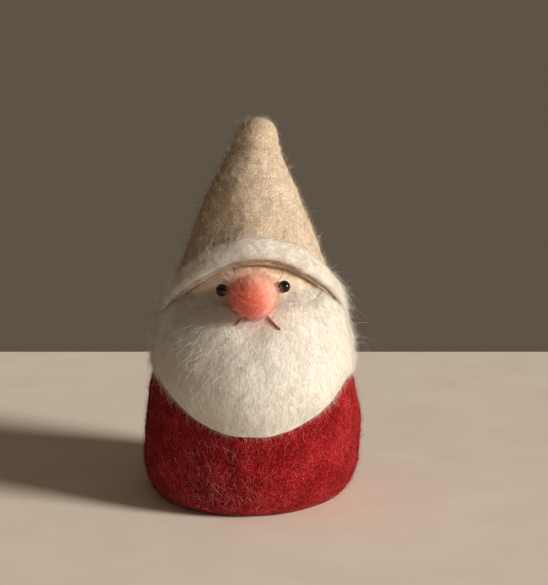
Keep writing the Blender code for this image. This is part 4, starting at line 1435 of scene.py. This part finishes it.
@dataclass
class WhiteWool:
    """The beard and the hair that carries on round the back of the head."""

    shop: Workshop
    sections: int = 150
    outer_rows: int = 56
    inner_rows: int = 14
    lumps: tuple[Lumps, ...] = (Lumps(15, 0.14, 41), Lumps(4.5, 0.05, 43))
    cheek_blush: float = 0.6
    cheek_angle: float = 32.0
    blush_half_angle: float = 13.0
    shade_side: float = -24.0
    shade_width: float = 11.0
    shade_elsewhere: float = 0.12
    top_width: float = 1.6
    under_nose: float = 14.0
    seam_angle: float = 81.0
    seam_half_angle: float = 2.5
    wisp_angle: float = 78.0
    wisp_half_angle: float = 22.0

    def spread_out(self, start: float, end: float) -> Array:
        """Angles of the sections, with close pairs that keep the ends crisp."""
        inside = np.linspace(start + 0.3, end - 0.3, self.sections)
        return np.concatenate([[start, start + 0.06], inside, [end - 0.06, end]])

    def layer(self, name: str, start: float, end: float) -> tuple[bpy.types.Mesh, Array]:
        """Lofts a layer of wool from section to section round the head.

        Args:
            name: Name of the mesh.
            start: Angle of the first section.
            end: Angle of the last section.

        Returns:
            The mesh, and which of its points are on the outer side.
        """
        turned = self.spread_out(start, end)[:, None]
        toward = (turned + 180) % 360 - 180
        low, high = FORM.wool_low(toward), FORM.wool_high(toward)
        heights = eased(low, high, self.outer_rows)
        back = eased(high, low, self.inner_rows)
        outer = around(turned, FORM.wool_surface(toward, heights), heights)
        inner = around(turned, FORM.under_wool(back), back)
        mesh = skin(name, np.concatenate([outer, inner], axis=1), looped=False)
        ring = self.outer_rows + self.inner_rows
        showing = np.tile(np.arange(ring) < self.outer_rows, len(turned))
        roughen(mesh, self.lumps, showing.astype(float))
        return mesh, showing

    def coat(self, name: str, mesh: bpy.types.Mesh, cover: Array, layers: int = 0) -> None:
        """Lays white fibres where a cover says."""
        paint(mesh, "cover", cover)
        self.shop.fibres(name, mesh, WHITE_WOOL, Body.FIGURE, Slot.WHITE, layers)

    def beard(self) -> None:
        """Builds the thick white bib with its combed and loose fibres."""
        mesh, showing = self.layer("beard_wool", -FORM.join_angle, FORM.join_angle)
        points = points_of(mesh)
        turned, height = angle_of(points), points[:, 2]
        aside = np.abs(turned)
        under_eye = spot(aside, self.cheek_angle, self.blush_half_angle)
        under_eye = under_eye * smooth(height, 64.5, 68.5)
        mouth = spot(turned, 0, self.blush_half_angle) * smooth(height, 61.5, 65)
        paint(mesh, "cover", showing)
        paint(mesh, "blush", (self.cheek_blush * under_eye + mouth) * showing)
        comb(mesh, around(turned + 90, 0.25 * np.sin(np.radians(turned)), -1.0))
        beard = new_piece(mesh, WHITE_WOOL.material())
        hand_over(beard, Body.FIGURE, ["beard"])
        self.coat("beard_fibres", mesh, showing, layers=2)
        shaded = spot(points[:, 0], self.shade_side, self.shade_width) * smooth(height, 36, 50)
        self.coat("beard_flyaway_fibres", mesh, (self.shade_elsewhere + shaded) * showing)
        top_edge = spot(height, FORM.cheek_line(turned), self.top_width) * (aside > self.under_nose)
        self.coat("beard_top_fibres", mesh, top_edge * showing)
        seam = spot(aside, self.seam_angle, self.seam_half_angle)
        self.coat("side_seam_fibres", mesh, seam * showing)
        beside = spot(turned, self.wisp_angle, self.wisp_half_angle) * smooth(height, 42, 58)
        self.coat("beard_wisps", mesh, beside * showing)

    def hair(self) -> None:
        """Builds the hair round the back of the head."""
        start = FORM.join_angle
        mesh, showing = self.layer("back_hair_wool", start, 360 - start)
        paint(mesh, "cover", showing)
        paint(mesh, "blush", np.zeros(len(showing)))
        comb(mesh, np.tile((0.0, 0.0, -1.0), (len(showing), 1)))
        hair = new_piece(mesh, WHITE_WOOL.material())
        hand_over(hair, Body.FIGURE, ["back_hair"])
        self.coat("back_hair_fibres", mesh, showing)

    def build(self) -> None:
        """Builds all the white wool of the head."""
        self.beard()
        self.hair()


@dataclass
class Hat:
    """The felt hat with its rolled band and the core wool in its point."""

    shop: Workshop
    sides: int = 176
    cavity_top: float = 121.0
    lumps: tuple[Lumps, ...] = (
        Lumps(17, 0.3, 61),
        Lumps(5, 0.08, 62),
        Lumps(2.2, 0.05, 63, (4, 4, 1)),
    )
    folds: Lumps = Lumps(3.6, 0.16, 68, (6, 6, 1))
    fold_height: float = 111.0
    fold_width: float = 8.0
    tip_drop: float = 0.4
    dent_angle: float = -65.0
    dent_half_angle: float = 55.0
    dent_height: float = 116.5
    dent_width: float = 2.6
    dent_depth: float = 0.5
    dent_lean: float = 1.0
    # Where the brownish blotches with painted shade lie: round the hat's shaded left side
    brown_shade_angle: float = -84.0
    brown_shade_half_angle: float = 44.0
    brown_shade_clumps: tuple[Lumps, ...] = (Lumps(5, 0.5, 69), Lumps(1.3, 0.5, 70))
    brown_shade_share: float = 0.62
    bare_rim: tuple[float, float] = (0.8, 2.5)
    shade_side: float = -16.0
    shade_width: float = 12.0
    shade_elsewhere: float = 0.1
    band_sections: int = 260
    band_corners: int = 34
    band_half_width: float = 3.4
    band_half_side: float = 1.15
    band_half_back: float = 1.9
    band_half_front: float = 2.0
    band_raise: float = 0.45
    band_clearance: float = 0.25
    band_lumps: tuple[Lumps, ...] = (Lumps(10, 0.14, 71), Lumps(3.5, 0.06, 72))
    fuzz_side: float = -26.0
    fuzz_width: float = 11.0
    fuzz_elsewhere: float = 0.22
    stuffing_lumps: tuple[Lumps, ...] = (Lumps(5, 0.08, 81),)
    stuffing_voxel: float = 0.7

    def ring_row(self, share: float, top: float, inset: float) -> Array:
        """A ring of the hat a share of the way up from its slanting rim."""
        turned = np.linspace(0, 360, self.sides, endpoint=False)
        low = FORM.felt_edge(turned)
        height = low + (top - low) * share
        ring = around(turned, FORM.hat.radius(height) - inset, height)
        ring[:, 0] += FORM.lean_at(height)
        return ring

    def worn(self, mesh: bpy.types.Mesh, loose: Array) -> Array:
        """Gives the cone its lumps, the folds under its point and one dent.

        Args:
            mesh: The cone.
            loose: How freely each of its points can move.

        Returns:
            The cone's moved points in mm.
        """
        folded = spot(points_of(mesh)[:, 2], self.fold_height, self.fold_width)
        roughen(mesh, self.lumps, loose)
        roughen(mesh, [self.folds], loose * folded)
        points = points_of(mesh)
        points[:, 2] -= self.tip_drop * smooth(points[:, 2], 112, 127)
        turned = angle_of(points - np.array([self.dent_lean, 0, 0]))
        aside = (turned - self.dent_angle) / self.dent_half_angle
        above = (points[:, 2] - self.dent_height) / self.dent_width
        beside = np.exp(-(aside**2) - above**2)
        points -= around(turned, self.dent_depth * beside, 0.0) * loose[:, None]
        set_points(mesh, points)
        return points

    def shell(self) -> None:
        """Builds the felt cone, with golden felt and painted warm shade along its rim, and brownish
        blotches with painted shade on one side.
        """
        crisp_tip, crisp_rim = [1, 0.996, 0.99, 0.98], [0.008, 0]
        outer_share = np.concatenate([crisp_tip, np.linspace(0.97, 0.02, 120), crisp_rim])
        inner_share = np.linspace(0, 1, 30)
        outer = [self.ring_row(share, FORM.tip, 0) for share in outer_share]
        inner = [self.ring_row(share, self.cavity_top, FORM.hat_thickness) for share in inner_share]
        mesh = skin("hat_felt", np.array([*outer, *inner]), looped=False)
        showing = np.repeat(np.arange(len(outer) + len(inner)) < len(outer), self.sides)
        points = points_of(mesh)
        above_rim = points[:, 2] - FORM.felt_edge(angle_of(points))
        loose = np.where(showing, smooth(above_rim, 1, 9), 0)
        points = self.worn(mesh, loose * (1 - 0.7 * smooth(points[:, 2], 118, 126)))
        turned, height = angle_of(points), points[:, 2]
        # Painted warm shade: the felt edge in the crevice under the band is tinted golden,
        # strongest at the front and right, partly the felt's own colour
        golden_shade = 0.25 + 0.75 * smooth(turned, -30, 6)
        paint(mesh, "rim", (1 - smooth(above_rim, 0.6, 2.4)) * golden_shade)
        # Painted shade: darker brownish blotches on the left side stand in for the shade there,
        # partly the wool's own uneven colour
        brown_and_shade = spot(turned, self.brown_shade_angle, self.brown_shade_half_angle) * smooth(above_rim, 2, 9)
        blotches = sum((clump.at(points) for clump in self.brown_shade_clumps), self.brown_shade_share)
        brown_and_shade = brown_and_shade * np.clip(blotches, 0, 1)
        paint(mesh, "brown_and_shade", brown_and_shade * (1 - 0.6 * smooth(height, 116, 124)))
        low, high = self.bare_rim
        paint(mesh, "cover", showing & ((above_rim > high) | (above_rim < low)))
        comb(mesh, around(turned + 90, 1.0, 0.3))
        hand_over(new_piece(mesh, HAT_FELT.material()), Body.HAT, ["hat_shell"])
        self.shop.fibres("hat_fibres", mesh, HAT_FELT, Body.HAT, Slot.HAT, layers=2)
        shaded = spot(points_of(mesh)[:, 0], self.shade_side, self.shade_width)
        paint(mesh, "cover", (self.shade_elsewhere + shaded) * (showing & (above_rim > high)))
        self.shop.fibres("hat_flyaway_fibres", mesh, HAT_FELT, Body.HAT, Slot.HAT)

    def rim_point(self, turned: Array) -> Array:
        """Points of the hat's surface behind the middle of the band."""
        height = FORM.rim_height(turned)
        return around(turned, FORM.hat.radius(height), height)

    def band_rings(self, t: Array) -> tuple[Array, Array]:
        """Sections of the band all the way round the rim.

        Args:
            t: Places round a section, in radians from its outer side.

        Returns:
            The sections' points, and the way along the band at each section.
        """
        turned = np.linspace(0, 360, self.band_sections, endpoint=False)
        place = self.rim_point(turned)
        along = unit(self.rim_point(turned + 1) - self.rim_point(turned - 1))
        height = place[:, 2]
        slope = (FORM.hat.radius(height + 1) - FORM.hat.radius(height - 1)) / 2
        up_felt = unit(around(turned, slope, np.ones(len(turned))))
        out = unit(np.cross(along, up_felt))
        across = np.cross(out, along)
        ahead = np.cos(np.radians(turned - FORM.rim_turn))
        front = np.maximum(0, ahead) ** 2
        rear = 1 - smooth(ahead, -0.8, -0.1)
        half = self.band_half_side + (self.band_half_front - self.band_half_side) * front
        half = half + (self.band_half_back - self.band_half_side) * rear
        middle = place + out * (half + self.band_clearance)[:, None]
        middle = middle + across * self.band_raise * front[:, None]
        bulge = np.sign(np.cos(t)) * np.abs(np.cos(t)) ** 0.85
        section = out[:, None, :] * (half[:, None] * bulge[None, :])[:, :, None]
        width = self.band_half_width * np.sin(t)
        section = section + across[:, None, :] * width[None, :, None]
        return middle[:, None, :] + section, along

    def band(self) -> None:
        """Builds the rolled wool band along the rim."""
        t = np.linspace(0, 2 * math.pi, self.band_corners, endpoint=False)
        rings, along = self.band_rings(t)
        mesh = skin("hat_band_wool", rings, looped=True)
        roughen(mesh, self.band_lumps, np.tile(np.cos(t) > -0.5, len(along)).astype(float))
        paint(mesh, "cover", np.tile(np.cos(t) > -0.6, len(along)))
        comb(mesh, np.repeat(along, len(t), axis=0))
        band = new_piece(mesh, BAND_WOOL.material())
        hand_over(band, Body.HAT, ["hat_band"])
        self.shop.fibres("hat_band_fibres", mesh, BAND_WOOL, Body.HAT, Slot.WHITE, layers=2)
        self.shop.fibres("hat_band_flyaway_fibres", mesh, BAND_WOOL, Body.HAT, Slot.WHITE)
        fuzzy = spot(points_of(mesh)[:, 0], self.fuzz_side, self.fuzz_width) + self.fuzz_elsewhere
        low_side = np.tile(np.where(np.sin(t) < 0.3, 1.0, 0.15), len(along))
        paint(mesh, "cover", fuzzy * low_side)
        comb(mesh, np.tile((0.3, 0.0, 1.0), (len(fuzzy), 1)))
        self.shop.fibres("hat_band_side_fuzz", mesh, BAND_WOOL, Body.HAT, Slot.WHITE)

    def stuffing(self) -> None:
        """Builds the core wool in the hat's point."""
        mesh = felted_copy(
            "hat_stuffing", "hat_stuffing_wool", self.stuffing_voxel, self.stuffing_lumps
        )
        points = points_of(mesh)
        paint(mesh, "cover", points[:, 2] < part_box("hat_stuffing")[0].z / MM + 1)
        comb(mesh, np.tile((1.0, 0.0, 0.0), (len(points), 1)))
        stuffing = new_piece(mesh, CORE_WOOL.material())
        hand_over(stuffing, Body.HAT, ["hat_stuffing"])
        self.shop.fibres("hat_stuffing_fibres", mesh, CORE_WOOL, Body.HAT, Slot.CORE)

    def build(self) -> None:
        """Builds the whole hat."""
        self.shell()
        self.band()
        self.stuffing()


@dataclass(frozen=True)
class Lamp:
    """One soft light: its kind, its place in metres, its strength and its colour."""

    name: str
    kind: str
    place: Colour
    strength: float
    colour: Colour


@dataclass
class Studio:
    """The floor, the lights and the camera, in metres."""

    aim: tuple[float, float, float] = (0.0, 0.0, 0.062)
    distance: float = 0.65
    elevation: float = 13.0
    lens: float = 120.0
    sensor: float = 36.0
    shift: tuple[float, float] = (0.036, 0.032)
    floor_side: float = 4.0
    floor_back: float = 0.19
    floor_tones: tuple[Colour, Colour] = ((0.84, 0.75, 0.64), (0.90, 0.81, 0.70))
    sky: Colour = (0.50, 0.39, 0.28)
    sky_strength: float = 0.22
    key: Lamp = Lamp("key_light", "SUN", (1.28, -0.60, 0.53), 4.7, (1.0, 0.925, 0.84))
    key_angle: float = 16.0
    fill: Lamp = Lamp("fill_light", "AREA", (0.35, -0.85, 0.16), 0.42, (1.0, 0.95, 0.92))
    fill_size: float = 0.6

    def camera(self) -> None:
        """Places the camera in front of the gnome, a little above it."""
        data = bpy.data.cameras.new("camera")
        data.lens = self.lens
        data.sensor_width = self.sensor
        data.shift_x, data.shift_y = self.shift
        made = bpy.data.objects.new("camera", data)
        up = math.radians(self.elevation)
        back = Vector((0, -math.cos(up), math.sin(up)))
        made.location = Vector(self.aim) + back * self.distance
        made.rotation_euler = (-back).to_track_quat("-Z", "Y").to_euler()
        bpy.context.scene.collection.objects.link(made)
        bpy.context.scene.camera = made

    def light(self, lamp: Lamp) -> bpy.types.Light:
        """Adds one light that looks at the gnome, and returns its data."""
        data = bpy.data.lights.new(lamp.name, lamp.kind)
        data.energy = lamp.strength
        data.color = lamp.colour
        made = bpy.data.objects.new(data.name, data)
        made.location = lamp.place
        toward = Vector(self.aim) - Vector(lamp.place)
        made.rotation_euler = toward.to_track_quat("-Z", "Y").to_euler()
        bpy.context.scene.collection.objects.link(made)
        return data

    def floor(self) -> None:
        """Lays a plain pale floor and a plain soft sky."""
        mesh = bpy.data.meshes.new("floor")
        side, back = self.floor_side, self.floor_back
        corners = [(-side, -side, 0), (side, -side, 0), (side, back, 0), (-side, back, 0)]
        mesh.from_pydata(corners, [], [(0, 1, 2, 3)])
        material, wiring, shader = new_material("pale_floor")
        places = wiring.add("ShaderNodeTexCoord").outputs["Object"]
        paper = wiring.add(
            "ShaderNodeTexNoise", {"Vector": places, "Scale": 40.0, "Detail": 3.0}
        ).outputs["Fac"]
        colour = wiring.ramp(paper, list(zip((0.3, 0.7), self.floor_tones, strict=True)))
        wiring.tree.links.new(colour, shader.inputs["Base Color"])
        shader.inputs["Roughness"].default_value = 0.9
        new_piece(mesh, material)
        world = bpy.data.worlds.new("soft_room")
        world.use_nodes = True
        background = world.node_tree.nodes["Background"]
        background.inputs["Color"].default_value = (*self.sky, 1)
        background.inputs["Strength"].default_value = self.sky_strength
        bpy.context.scene.world = world

    def build(self) -> None:
        """Sets up the whole studio."""
        self.camera()
        self.floor()
        self.light(self.key).angle = math.radians(self.key_angle)
        self.light(self.fill).size = self.fill_size
        bpy.context.scene.view_settings.view_transform = "Standard"


def main() -> None:
    """Builds the gnome's looks, sub-assembly by sub-assembly."""
    logging.basicConfig(level=logging.INFO, format="%(name)s: %(message)s")
    shop = Workshop()
    for part in (WoolBody(shop), Face(shop), WhiteWool(shop), Hat(shop), Studio()):
        log.info("building %s", type(part).__name__)
        part.build()


if __name__ == "__main__":
    main()
